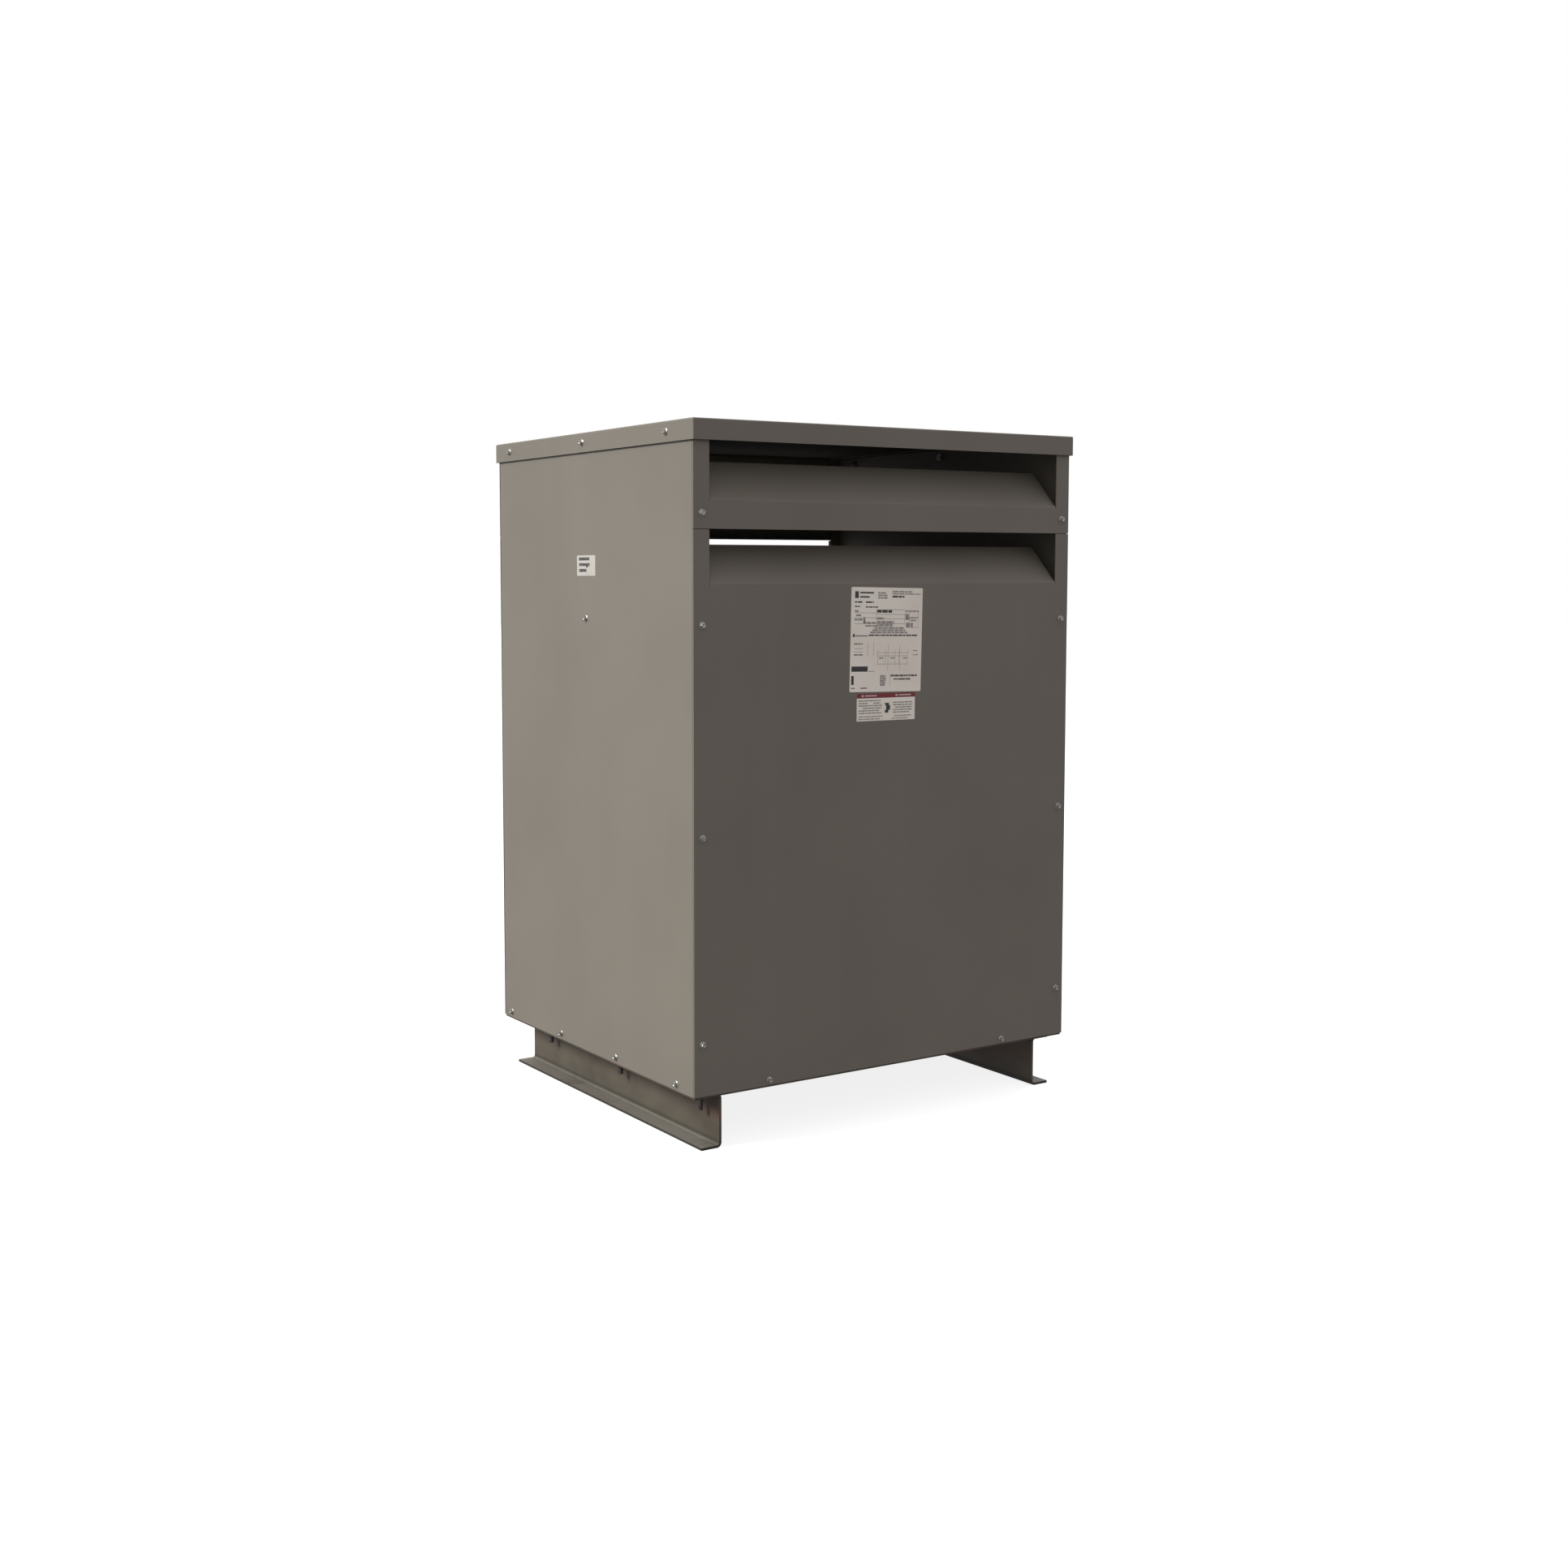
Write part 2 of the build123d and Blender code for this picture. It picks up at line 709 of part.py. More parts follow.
# core clamps: channels along both faces of both yokes, flanges outward
end_bolt_x = core_width / 2 + clamp_past_core / 2
clamp_bolt_x = (-end_bolt_x, -yoke_hole_x, yoke_hole_x, end_bolt_x)
clamp_levels = {"lower": (clamp_bottom, 1), "upper": (upper_clamp_bottom, -1)}
clamp_bolt_z = {"lower": core_bottom + half_leg, "upper": core_top - half_leg}
for level, (bottom, up) in clamp_levels.items():
    for face, sign in faces.items():
        with BuildPart() as clamp:
            top = bottom + clamp_height
            x = (-clamp_length / 2, clamp_length / 2)
            block(x, span(sign, clamp_face_y, clamp_face_y + clamp_steel), (bottom, top))
            flange_y = span(sign, clamp_face_y + clamp_steel, clamp_edge_y)
            block(x, flange_y, (bottom, bottom + clamp_steel))
            block(x, flange_y, (top - clamp_steel, top))
            for bolt_x in clamp_bolt_x:
                hole = (bolt_x, sign * clamp_face_y, clamp_bolt_z[level])
                pierce(hole, (0, 1, 0), yoke_hole_r, clamp_steel)
            if level == "lower":
                for bolt_x in (-isolator_x, isolator_x):
                    hole = (bolt_x, sign * rail_y, bottom)
                    hole_r = core_bolt_r + bolt_hole_clearance
                    pierce(hole, (0, 0, 1), hole_r, clamp_steel)
        save(clamp, f"{level}_{face}_clamp")

# hat-section rails that carry the core across the pan
rail_half_x = pan_x - pan_steel - weld_nut_height - rail_end_gap
for face, sign in faces.items():
    with BuildPart() as rail:
        x = (-rail_half_x, rail_half_x)
        half_top = rail_top_width / 2
        low, high = rail_y - half_top, rail_y + half_top
        block(x, span(sign, low - rail_brim, low + rail_steel), (pan_top, pan_top + rail_steel))
        block(x, span(sign, high - rail_steel, high + rail_brim), (pan_top, pan_top + rail_steel))
        block(x, span(sign, low, low + rail_steel), (pan_top, rail_top))
        block(x, span(sign, high - rail_steel, high), (pan_top, rail_top))
        block(x, span(sign, low, high), (rail_top - rail_steel, rail_top))
        for bolt_x in (-isolator_x, isolator_x):
            hole = (bolt_x, sign * rail_y, rail_top)
            pierce(hole, (0, 0, 1), core_bolt_r + bolt_hole_clearance, rail_steel)
        for bolt_x in (-rail_bolt_x, rail_bolt_x):
            for y in (rail_y - rail_bolt_out, rail_y + rail_bolt_out):
                hole = (bolt_x, sign * y, pan_top)
                pierce(hole, (0, 0, 1), pan_bolt_r + bolt_hole_clearance, rail_steel)
    save(rail, f"{face}_mounting_rail")

# rubber isolators between the rails and the lower clamps, each held by one bolt
isolator_points = [(x, y) for x in (-isolator_x, isolator_x) for y in (-rail_y, rail_y)]
with BuildPart() as isolators:
    for x, y in isolator_points:
        middle = (x, y, rail_top + isolator_height / 2)
        rod(middle, (0, 0, 1), isolator_r, isolator_height)
        pierce(middle, (0, 0, 1), core_bolt_r + bolt_hole_clearance, isolator_height)
save(isolators, "vibration_isolators")

# M12 bolts that squeeze the clamps onto the yokes and hold the core down on its isolators
clamp_seat_y = clamp_face_y + clamp_steel
core_nut_height = nut_height * core_bolt_r
clamp_bolt = hex_bolt(core_bolt_r, 2 * clamp_seat_y + core_nut_height + bolt_tail)
isolator_grip = clamp_steel + isolator_height + rail_steel
isolator_bolt = hex_bolt(core_bolt_r, isolator_grip + core_nut_height + bolt_tail)
clamp_points = [(x, z) for z in clamp_bolt_z.values() for x in clamp_bolt_x]
with BuildPart() as core_bolts:
    for x, z in clamp_points:
        with Locations(Plane((x, -clamp_seat_y, z), z_dir=(0, -1, 0))):
            add(clamp_bolt)
    with Locations(*[(x, y, clamp_bottom + clamp_steel) for x, y in isolator_points]):
        add(isolator_bolt)
save(core_bolts, "core_bolts")
core_nut = hex_nut(core_bolt_r)
with BuildPart() as core_nuts:
    for x, z in clamp_points:
        with Locations(Plane((x, clamp_seat_y, z), z_dir=(0, 1, 0))):
            add(core_nut)
    with Locations(*[(x, y, rail_top - rail_steel - core_nut_height) for x, y in isolator_points]):
        add(core_nut)
save(core_nuts, "core_nuts")

# windings: former, low-voltage layer, barrier tube and high-voltage layer round each leg
for name, x in coil_x.items():
    rings = {
        "low_voltage_winding": (low_in, low_out, coil_bottom, coil_top),
        "high_voltage_winding": (high_in, high_out, coil_bottom, coil_top),
    }
    for label, (inside, outside, low, high) in rings.items():
        with BuildPart() as winding:
            with Locations((x, 0, 0)):
                add(leg_ring(inside, outside, low, high))
        save(winding, f"{name}_{label}")

tube_past = coil_end_clearance / 2
with BuildPart() as winding_formers:
    with Locations(*[(x, 0, 0) for x in coil_x.values()]):
        add(leg_ring(former_gap, former_out, coil_bottom - tube_past, coil_top + tube_past))
save(winding_formers, "winding_formers")
with BuildPart() as barrier_tubes:
    with Locations(*[(x, 0, 0) for x in coil_x.values()]):
        add(leg_ring(barrier_in, barrier_out, coil_bottom - tube_past, coil_top + tube_past))
save(barrier_tubes, "barrier_tubes")

# sticks that hold the two air ducts open, and wedges that fix each former on its leg
stick_rows = {"inner": (low_out, barrier_in), "outer": (barrier_out, high_in)}
half_depth = core_depth / 2
coil_z = (coil_bottom, coil_top)
with BuildPart() as winding_spacers:
    for x in coil_x.values():
        for sign in (-1, 1):
            for low, high in stick_rows.values():
                for middle in (x - half_leg / 2, x + half_leg / 2):
                    stick_x = (middle - stick_width / 2, middle + stick_width / 2)
                    block(stick_x, span(sign, half_depth + low, half_depth + high), coil_z)
                for middle in (-half_depth / 2, half_depth / 2):
                    stick_y = (middle - stick_width / 2, middle + stick_width / 2)
                    stick_x = (x + sign * (half_leg + low), x + sign * (half_leg + high))
                    block(stick_x, stick_y, coil_z)
            wedge_x = (x - half_leg / 2, x + half_leg / 2)
            block(wedge_x, span(sign, half_depth, half_depth + former_gap), coil_z)
save(winding_spacers, "winding_spacers")

# blocks that hold the windings up from the lower clamps and down from the upper ones; each
# has a slot for the end of the barrier tube
support_levels = ((clamp_bottom + clamp_height, coil_bottom), (coil_top, upper_clamp_bottom))
block_inner_y = clamp_face_y + clamp_steel + block_web_gap
tube_slot = leg_ring(
    barrier_in - winding_gap, barrier_out + winding_gap,
    coil_bottom - tube_past - winding_gap, coil_top + tube_past + winding_gap,
)
with BuildPart() as coil_supports:
    for low, high in support_levels:
        for x in coil_x.values():
            for middle in (x - block_offset, x + block_offset):
                for sign in (-1, 1):
                    block_x = (middle - block_width / 2, middle + block_width / 2)
                    block_y = span(sign, block_inner_y, block_inner_y + block_depth)
                    block(block_x, block_y, (low, high))
    with Locations(*[(x, 0, 0) for x in coil_x.values()]):
        add(tube_slot, mode=Mode.SUBTRACT)
save(coil_supports, "coil_support_blocks")

# tap boards: an insulating board on two battens in front of each high-voltage winding
tap_z = [board_middle + (i - (tap_count - 1) / 2) * tap_pitch for i in range(tap_count)]
board_z = (board_middle - board_height / 2, board_middle + board_height / 2)
with BuildPart() as tap_boards:
    for x in coil_x.values():
        block((x - board_width / 2, x + board_width / 2), (-board_face_y, -board_back_y), board_z)
        batten_offset = (board_width - batten_width) / 2
        for middle in (x - batten_offset, x + batten_offset):
            batten_x = (middle - batten_width / 2, middle + batten_width / 2)
            block(batten_x, (-board_back_y, -coil_half_y), board_z)
        for z in tap_z:
            hole_r = tap_stud_r + thread_clearance
            pierce((x, -board_face_y, z), (0, 1, 0), hole_r, board_thickness)
save(tap_boards, "tap_boards")

# what each tap stud carries in front of its board nut: a link on the middle pair, a lead's
# lug on the two lowest and the cable terminal on the highest
middle_tap = tap_count // 2
front_of_tap = {0: link_thickness, 1: link_thickness, middle_tap: link_thickness,
                middle_tap + 1: link_thickness, tap_count - 1: pad_thickness}
stud_front_y = board_face_y + 2 * tap_nut_height + pad_thickness + bolt_tail
stud_length = stud_front_y - coil_half_y - seat_gap
with BuildPart() as tap_studs:
    for x in coil_x.values():
        for z in tap_z:
            middle = (x, -(coil_half_y + seat_gap + stud_length / 2), z)
            rod(middle, (0, 1, 0), tap_stud_r, stud_length)
save(tap_studs, "tap_studs")
tap_nut = hexagon(bolt_flats * tap_stud_r, tap_nut_height, tap_stud_r + thread_clearance)
with BuildPart() as tap_nuts:
    for x in coil_x.values():
        for i, z in enumerate(tap_z):
            with Locations(Plane((x, -board_face_y, z), z_dir=(0, -1, 0))):
                add(tap_nut)
            if i in front_of_tap:
                with Locations(Plane((x, -link_y - front_of_tap[i], z), z_dir=(0, -1, 0))):
                    add(tap_nut)
save(tap_nuts, "tap_nuts")

link_layer = (-link_y - link_thickness, -link_y)
with BuildPart() as tap_links:
    pair = (tap_z[middle_tap], tap_z[middle_tap + 1])
    for x in coil_x.values():
        link_x = (x - link_width / 2, x + link_width / 2)
        block(link_x, link_layer, (pair[0] - link_width / 2, pair[1] + link_width / 2))
        for z in pair:
            hole_r = tap_stud_r + thread_clearance
            pierce((x, -link_y, z), (0, 1, 0), hole_r, link_thickness)
save(tap_links, "tap_links")

# high-voltage terminals: a pad on the top stud of each board, with two cable-lug holes
pad_low = tap_z[-1] - link_width / 2
pad_high = pad_low + high_pad_length
with BuildPart() as high_terminals:
    for x in coil_x.values():
        pad_x = (x - pad_width / 2, x + pad_width / 2)
        block(pad_x, (-link_y - pad_thickness, -link_y), (pad_low, pad_high))
        hole_r = tap_stud_r + thread_clearance
        pierce((x, -link_y, tap_z[-1]), (0, 1, 0), hole_r, pad_thickness)
        for i in range(pad_holes):
            z = pad_high - pad_edge - i * pad_hole_pitch
            pierce((x, -link_y, z), (0, 1, 0), pad_hole_r, pad_thickness)
save(high_terminals, "high_voltage_terminals")

# delta leads: from the lowest tap of one winding to the next tap up of its neighbour, and
# from the last winding back round under the boards to the first; each ends in a flat lug
lead_y = -(link_y + link_thickness / 2)
first_x, second_x, last_x = coil_x.values()
lug_edge = link_width / 2
under_z = tap_z[0] - tap_pitch - lead_drop
lead_routes = []
for start_x, end_x in ((first_x, second_x), (second_x, last_x)):
    lead_routes.append([
        (start_x + lug_edge, tap_z[0]), (start_x + lead_run, tap_z[0]),
        (end_x - lead_run, tap_z[1]), (end_x - lug_edge, tap_z[1]),
    ])
lead_routes.append([
    (last_x + lug_edge, tap_z[0]), (last_x + lead_run, tap_z[0]), (last_x + lead_run, under_z),
    (first_x - lead_run, under_z), (first_x - lead_run, tap_z[1]), (first_x - lug_edge, tap_z[1]),
])
with BuildPart() as delta_leads:
    for route in lead_routes:
        with BuildLine(Plane((0, lead_y, 0), x_dir=(1, 0, 0), z_dir=(0, -1, 0))) as route_line:
            FilletPolyline(*route, radius=lead_bend)
        with BuildSketch(Plane(route_line.line @ 0, z_dir=route_line.line % 0)):
            Circle(lead_r)
        sweep(path=route_line.line)
    for x in coil_x.values():
        for z in tap_z[:2]:
            block((x - lug_edge, x + lug_edge), link_layer, (z - lug_edge, z + lug_edge))
            hole_r = tap_stud_r + thread_clearance
            pierce((x, -link_y, z), (0, 1, 0), hole_r, link_thickness)
save(delta_leads, "delta_leads")

# low-voltage bars: each leaves the top of its winding under the clamp's flange, runs forward
# and rises in front of the bus board to a pad with two cable-lug holes
low_mid_y = core_depth / 2 + (low_in + low_out) / 2
bar_low = coil_top + tube_past + bar_clearance
bar_level = (bar_low, bar_low + bar_thickness)
bar_front_y = bus_y + bus_board_thickness + bar_thickness
bar_top = bar_level[0] + bar_rise
foot_y = (low_mid_y - bar_thickness / 2, low_mid_y + bar_thickness / 2)


def lug_holes(x):
    for i in range(pad_holes):
        centre = (x, -bar_front_y, bar_top - pad_edge - i * pad_hole_pitch)
        pierce(centre, (0, 1, 0), pad_hole_r, bar_thickness)


with BuildPart() as low_bars:
    for x in coil_x.values():
        bar_x = (x - bar_width / 2, x + bar_width / 2)
        block(bar_x, span(-1, *foot_y), (coil_top, bar_level[1]))
        block(bar_x, span(-1, foot_y[0], bar_front_y), bar_level)
        block(bar_x, span(-1, bar_front_y - bar_thickness, bar_front_y), (bar_level[0], bar_top))
        lug_holes(x)
save(low_bars, "low_voltage_bars")

# neutral bar: a collector behind the windings, a run along the right and a pad at the front
neutral_inner_x = leg_pitch + coil_half_x + neutral_clearance
neutral_outer_x = neutral_inner_x + bar_thickness
collector_z = (bar_level[0], bar_level[0] + bar_width)
with BuildPart() as neutral_bar:
    for x in coil_x.values():
        bar_x = (x - bar_width / 2, x + bar_width / 2)
        block(bar_x, foot_y, (coil_top, bar_level[1]))
        block(bar_x, (foot_y[0], bar_front_y), bar_level)
    collector_x = (first_x - bar_width / 2, neutral_outer_x)
    block(collector_x, (bar_front_y - bar_thickness, bar_front_y), collector_z)
    block((neutral_inner_x, neutral_outer_x), (-bar_front_y, bar_front_y), collector_z)
    pad_x = (neutral_outer_x - bar_width, neutral_outer_x)
    block(pad_x, span(-1, bar_front_y - bar_thickness, bar_front_y), (bar_level[0], bar_top))
    lug_holes(neutral_outer_x - bar_width / 2)
save(neutral_bar, "neutral_bar")

# bus board: an insulating board behind the upright bars, hung on two brackets
clamp_top = upper_clamp_bottom + clamp_height
board_high = bar_top - 2 * pad_edge - pad_hole_pitch - pad_hole_r
board_x = (first_x - bar_width / 2 - bus_board_past, neutral_outer_x)
with BuildPart() as bus_board:
    board_level = (board_high - bus_board_height, board_high)
    block(board_x, (-bus_y - bus_board_thickness, -bus_y), board_level)
save(bus_board, "bus_board")
with BuildPart() as bus_brackets:
    for sign in (-1, 1):
        bracket_x = span(sign, bracket_inner_x, bracket_inner_x + bracket_width)
        bracket_low = board_high - bus_board_height
        block(bracket_x, (-bus_y, -clamp_edge_y), (bracket_low, clamp_top + bracket_steel))
        foot_span = (-clamp_edge_y, -clamp_edge_y + bracket_foot)
        block(bracket_x, foot_span, (clamp_top, clamp_top + bracket_steel))
save(bus_brackets, "bus_brackets")

# lifting lugs: angles on the upper clamps, each with a hole for a shackle
with BuildPart() as lifting_lugs:
    for face in (-1, 1):
        for sign in (-1, 1):
            lug_x = span(sign, lug_inner_x, lug_inner_x + lug_width)
            web_y = span(face, clamp_seat_y, clamp_seat_y + clamp_steel)
            foot_span = span(face, clamp_seat_y, clamp_edge_y)
            block(lug_x, foot_span, (clamp_top, clamp_top + clamp_steel))
            block(lug_x, web_y, (clamp_top, clamp_top + lug_rise))
            hole_x = sign * (lug_inner_x + lug_width / 2)
            centre = (hole_x, face * clamp_seat_y, clamp_top + lug_rise / 2)
            pierce(centre, (0, 1, 0), lug_hole_r, clamp_steel)
save(lifting_lugs, "lifting_lugs")

# earth bar on two insulators, on the pan beside the front opening
ground_middle_y = -(strip_y + ground_bar_length / 2 + ground_clearance)
ground_ends = (ground_middle_y - ground_bar_length / 2, ground_middle_y + ground_bar_length / 2)
ground_z = pan_top + ground_standoff
ground_x = (-ground_bar_x - ground_bar_width / 2, -ground_bar_x + ground_bar_width / 2)
with BuildPart() as ground_bar:
    block(ground_x, ground_ends, (ground_z, ground_z + ground_bar_thickness))
    for i in range(ground_holes):
        y = ground_middle_y + (i - (ground_holes - 1) / 2) * ground_hole_pitch
        pierce((-ground_bar_x, y, ground_z), (0, 0, 1), ground_hole_r, ground_bar_thickness)
save(ground_bar, "ground_bar")
with BuildPart() as ground_standoffs:
    for y in (ground_ends[0] + ground_standoff_inset, ground_ends[1] - ground_standoff_inset):
        middle = (-ground_bar_x, y, pan_top + ground_standoff / 2)
        rod(middle, (0, 0, 1), ground_standoff_r, ground_standoff)
save(ground_standoffs, "ground_standoffs")

# strap that bridges the rubber isolator, from the lower front clamp down to its rail
strap_end = clamp_length / 2
strap_y = (-rail_y - strap_width / 2, -rail_y + strap_width / 2)
with BuildPart() as core_strap:
    upper_x = (-strap_end, -strap_end + strap_width)
    block(upper_x, strap_y, (clamp_bottom - strap_thickness, clamp_bottom))
    drop_x = (-strap_end + strap_width - strap_thickness, -strap_end + strap_width)
    block(drop_x, strap_y, (rail_top, clamp_bottom))
    block((drop_x[0], drop_x[0] + strap_width), strap_y, (rail_top, rail_top + strap_thickness))
save(core_strap, "core_earth_strap")
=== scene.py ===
import json
import math
import random
import bpy
from mathutils import Matrix, Vector


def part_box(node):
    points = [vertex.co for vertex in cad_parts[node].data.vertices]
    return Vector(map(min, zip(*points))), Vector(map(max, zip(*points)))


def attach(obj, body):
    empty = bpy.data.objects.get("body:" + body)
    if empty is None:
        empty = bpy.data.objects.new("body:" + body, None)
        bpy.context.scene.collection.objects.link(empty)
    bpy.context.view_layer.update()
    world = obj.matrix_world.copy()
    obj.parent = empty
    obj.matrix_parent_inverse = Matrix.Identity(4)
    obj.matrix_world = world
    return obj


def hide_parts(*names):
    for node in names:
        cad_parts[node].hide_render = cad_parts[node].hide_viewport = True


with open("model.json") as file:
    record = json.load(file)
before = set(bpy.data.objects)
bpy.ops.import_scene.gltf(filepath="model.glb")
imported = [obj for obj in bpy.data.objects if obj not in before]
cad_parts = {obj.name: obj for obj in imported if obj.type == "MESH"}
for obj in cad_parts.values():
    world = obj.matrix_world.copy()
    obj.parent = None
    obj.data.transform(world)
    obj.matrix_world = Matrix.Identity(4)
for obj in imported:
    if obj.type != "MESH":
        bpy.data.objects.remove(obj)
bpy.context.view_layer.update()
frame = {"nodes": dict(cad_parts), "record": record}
bpy.ops.object.select_all(action="DESELECT")
print("frame loaded:", len(frame["nodes"]), "nodes")

mm = 0.001


# a wire is one output socket; sums on wires add Math nodes to its tree
class Wire:
    def __init__(self, tree, socket):
        self.tree = tree
        self.socket = socket

    def sum(self, operation, first, second):
        node = self.tree.nodes.new("ShaderNodeMath")
        node.operation = operation
        for slot, value in zip(node.inputs, (first, second)):
            plug(self.tree, slot, value)
        return Wire(self.tree, node.outputs[0])

    def __add__(self, other):
        return self.sum("ADD", self, other)

    def __radd__(self, other):
        return self.sum("ADD", other, self)

    def __sub__(self, other):
        return self.sum("SUBTRACT", self, other)

    def __rsub__(self, other):
        return self.sum("SUBTRACT", other, self)

    def __mul__(self, other):
        return self.sum("MULTIPLY", self, other)

    def __rmul__(self, other):
        return self.sum("MULTIPLY", other, self)


def plug(tree, slot, value):
    if isinstance(value, Wire):
        tree.links.new(value.socket, slot)
    elif isinstance(value, tuple) and slot.type == "RGBA":
        slot.default_value = (*value, 1)
    else:
        slot.default_value = value


# the nodes of one material or world; add() makes every node that isn't plain maths
class Finish:
    def __init__(self, owner):
        self.owner = owner
        owner.use_nodes = True
        self.tree = owner.node_tree
        self.tree.nodes.clear()
        self.place = self.add("TexCoord", out="Object")

    def add(self, kind, settings=None, sockets=None, out=0):
        node = self.tree.nodes.new("ShaderNode" + kind)
        for key, value in (settings or {}).items():
            setattr(node, key, value)
        for key, value in (sockets or {}).items():
            plug(self.tree, node.inputs[key], value)
        return Wire(self.tree, node.outputs[out]) if len(node.outputs) else node

    def stretch(self, scale):
        return self.add("Mapping", {}, {"Vector": self.place, "Scale": scale})

    def noise(self, scale, detail=2.0, vector=None):
        sockets = {"Vector": vector or self.place, "Scale": scale, "Detail": detail}
        return self.add("TexNoise", {}, sockets)

    def smooth(self, value, low, high):  # 0 below low, 1 above high
        sockets = {"Value": value, "From Min": low, "From Max": high}
        return self.add("MapRange", {"interpolation_type": "SMOOTHSTEP"}, sockets)

    def mix(self, factor, first, second):
        return self.add("Mix", {"data_type": "RGBA"}, {0: factor, 6: first, 7: second}, out=2)

    def axis(self, name):
        return self.add("SeparateXYZ", {}, {"Vector": self.place}, out=name)

    def facing(self, name):
        normal = self.add("NewGeometry", out="Normal")
        return self.add("SeparateXYZ", {}, {"Vector": normal}, out=name)

    def bump(self, height, strength, distance, edge=0.0):
        sockets = {"Height": height, "Strength": strength, "Distance": distance}
        if edge:
            sockets["Normal"] = self.add("Bevel", {"samples": 4}, {"Radius": edge})
        return self.add("Bump", {}, sockets)

    def shader(self, **sockets):
        named = {key.replace("_", " "): value for key, value in sockets.items()}
        principled = self.add("BsdfPrincipled", {}, named)
        self.add("OutputMaterial", {}, {"Surface": principled})
        return self.owner


def newFinish(name):
    return Finish(bpy.data.materials.new(name))


def shade(colour, amount):
    return tuple(channel * amount for channel in colour)


# painted steel
def paintFinish(name, look):
    finish = newFinish(name)
    clouds = finish.noise(look["cloudScale"], 5)
    streaks = finish.noise(1.0, 3, finish.stretch(look["streaks"]))
    speck = finish.noise(look["speckScale"], 1)
    peel = finish.noise(look["peelScale"], 2)
    cloudy = finish.smooth(clouds, *look["cloudBand"])
    tone = finish.mix(cloudy, shade(look["colour"], look["dark"]), look["colour"])
    streaked = finish.smooth(streaks, *look["streakBand"]) * look["streakMix"]
    tone = finish.mix(streaked, tone, look["dust"])
    specks = finish.smooth(speck, *look["speckBand"]) * look["speckMix"]
    tone = finish.mix(specks, tone, shade(look["colour"], look["speckShade"]))
    facingUp = finish.facing("Z")
    # dust that settles on faces that look up; on the feet it covers them fully and is partly
    # painted light, making their top faces lighter as where light falls from above
    settledDustAndLight = finish.smooth(facingUp, *look["topBand"]) * finish.smooth(clouds, *look["dustBand"])
    tone = finish.mix(settledDustAndLight * look["settledDustAndLightMix"], tone, look["dust"])
    height = finish.axis("Z")
    # dirt splashed up from the floor, and painted shade: patches darken towards the bottom
    low = 1 - finish.smooth(height, look["splashAndShadeLow"], look["splashAndShadeHigh"])
    splashedAndShaded = low * finish.smooth(streaks, *look["splashAndShadeBand"]) * look["splashAndShadeMix"]
    tone = finish.mix(splashedAndShaded, tone, look["splashAndShade"])
    patches = finish.smooth(height, *look["rustRise"]) * finish.smooth(streaks, *look["rustBand"])
    tone = finish.mix(patches * look["rustMix"], tone, look["rust"])
    # painted shade: faces that look down are darkened towards a dark copy of the paint, for the
    # shade under them
    under = 1 - finish.smooth(facingUp, *look["underBand"])
    tone = finish.mix(under * look["underDark"], tone, shade(look["colour"], look["underShade"]))
    # painted shade: upright faces are darkened just above the bottom, in the crease where a foot's
    # web meets its flange
    upright = 1 - finish.smooth(facingUp, *look["uprightBand"])
    creaseShade = (1 - finish.smooth(height, look["foldLow"], look["foldHigh"])) * upright
    tone = finish.mix(creaseShade * look["foldDark"], tone, shade(look["colour"], look["foldShade"]))
    rough = look["rough"] + clouds * look["roughSpread"]
    rough = rough + settledDustAndLight * look["dustRough"] + under * look["underRough"]
    normal = finish.bump(peel, look["peel"], look["peelDepth"], look["edge"])
    return finish.shader(
        Base_Color=tone, Roughness=rough, Normal=normal, Specular_IOR_Level=look["specular"],
    )


cabinetLook = {
    "colour": (0.17, 0.154, 0.124), "dark": 0.93, "dust": (0.22, 0.204, 0.176),
    "splashAndShade": (0.115, 0.1, 0.082), "cloudScale": 4.0, "streaks": (9.0, 9.0, 0.7),
    "speckScale": 420.0, "peelScale": 260.0, "streakMix": 0.12, "speckMix": 0.25,
    "settledDustAndLightMix": 0.35, "splashAndShadeLow": 0.09, "splashAndShadeHigh": 0.22, "splashAndShadeMix": 0.12,
    "rough": 0.42, "roughSpread": 0.12, "peel": 0.05, "edge": 0.7 * mm, "specular": 0.4,
    "underDark": 0.9, "foldLow": 0.0, "foldHigh": 0.001, "foldDark": 0.0,
    "rust": (0.11, 0.065, 0.045), "rustMix": 0.0, "rustRise": (0.03, 0.06),
    "rustBand": (0.42, 0.62), "cloudBand": (0.3, 0.7), "streakBand": (0.45, 0.8),
    "speckBand": (0.62, 0.8), "speckShade": 0.72, "topBand": (0.6, 0.95), "dustBand": (0.2, 0.5),
    "splashAndShadeBand": (0.3, 0.75), "underBand": (-0.9, -0.45), "underShade": 0.2,
    "uprightBand": (0.3, 0.9), "foldShade": 0.3, "dustRough": 0.12, "underRough": 0.45,
    "peelDepth": 0.3 * mm,
}
# the feet: their full settled dust is partly painted light on their top faces
footLook = dict(
    cabinetLook, colour=(0.09, 0.077, 0.056), dark=0.66, streakMix=0.2, speckMix=0.5,
    splashAndShade=(0.06, 0.052, 0.038), splashAndShadeLow=0.0, splashAndShadeHigh=0.03, splashAndShadeMix=0.3, rough=0.45,
    cloudScale=11.0, settledDustAndLightMix=1.0, streaks=(3.0, 3.0, 14.0), dust=(0.17, 0.16, 0.13),
    foldLow=0.006, foldHigh=0.016, foldDark=0.8, rustMix=0.75,
)
clampLook = dict(
    cabinetLook, colour=(0.03, 0.034, 0.039), dark=0.7, dust=(0.11, 0.103, 0.095),
    splashAndShade=(0.035, 0.03, 0.026), underDark=0.3, cloudScale=14.0, rough=0.5, settledDustAndLightMix=0.5,
    specular=0.35,
)


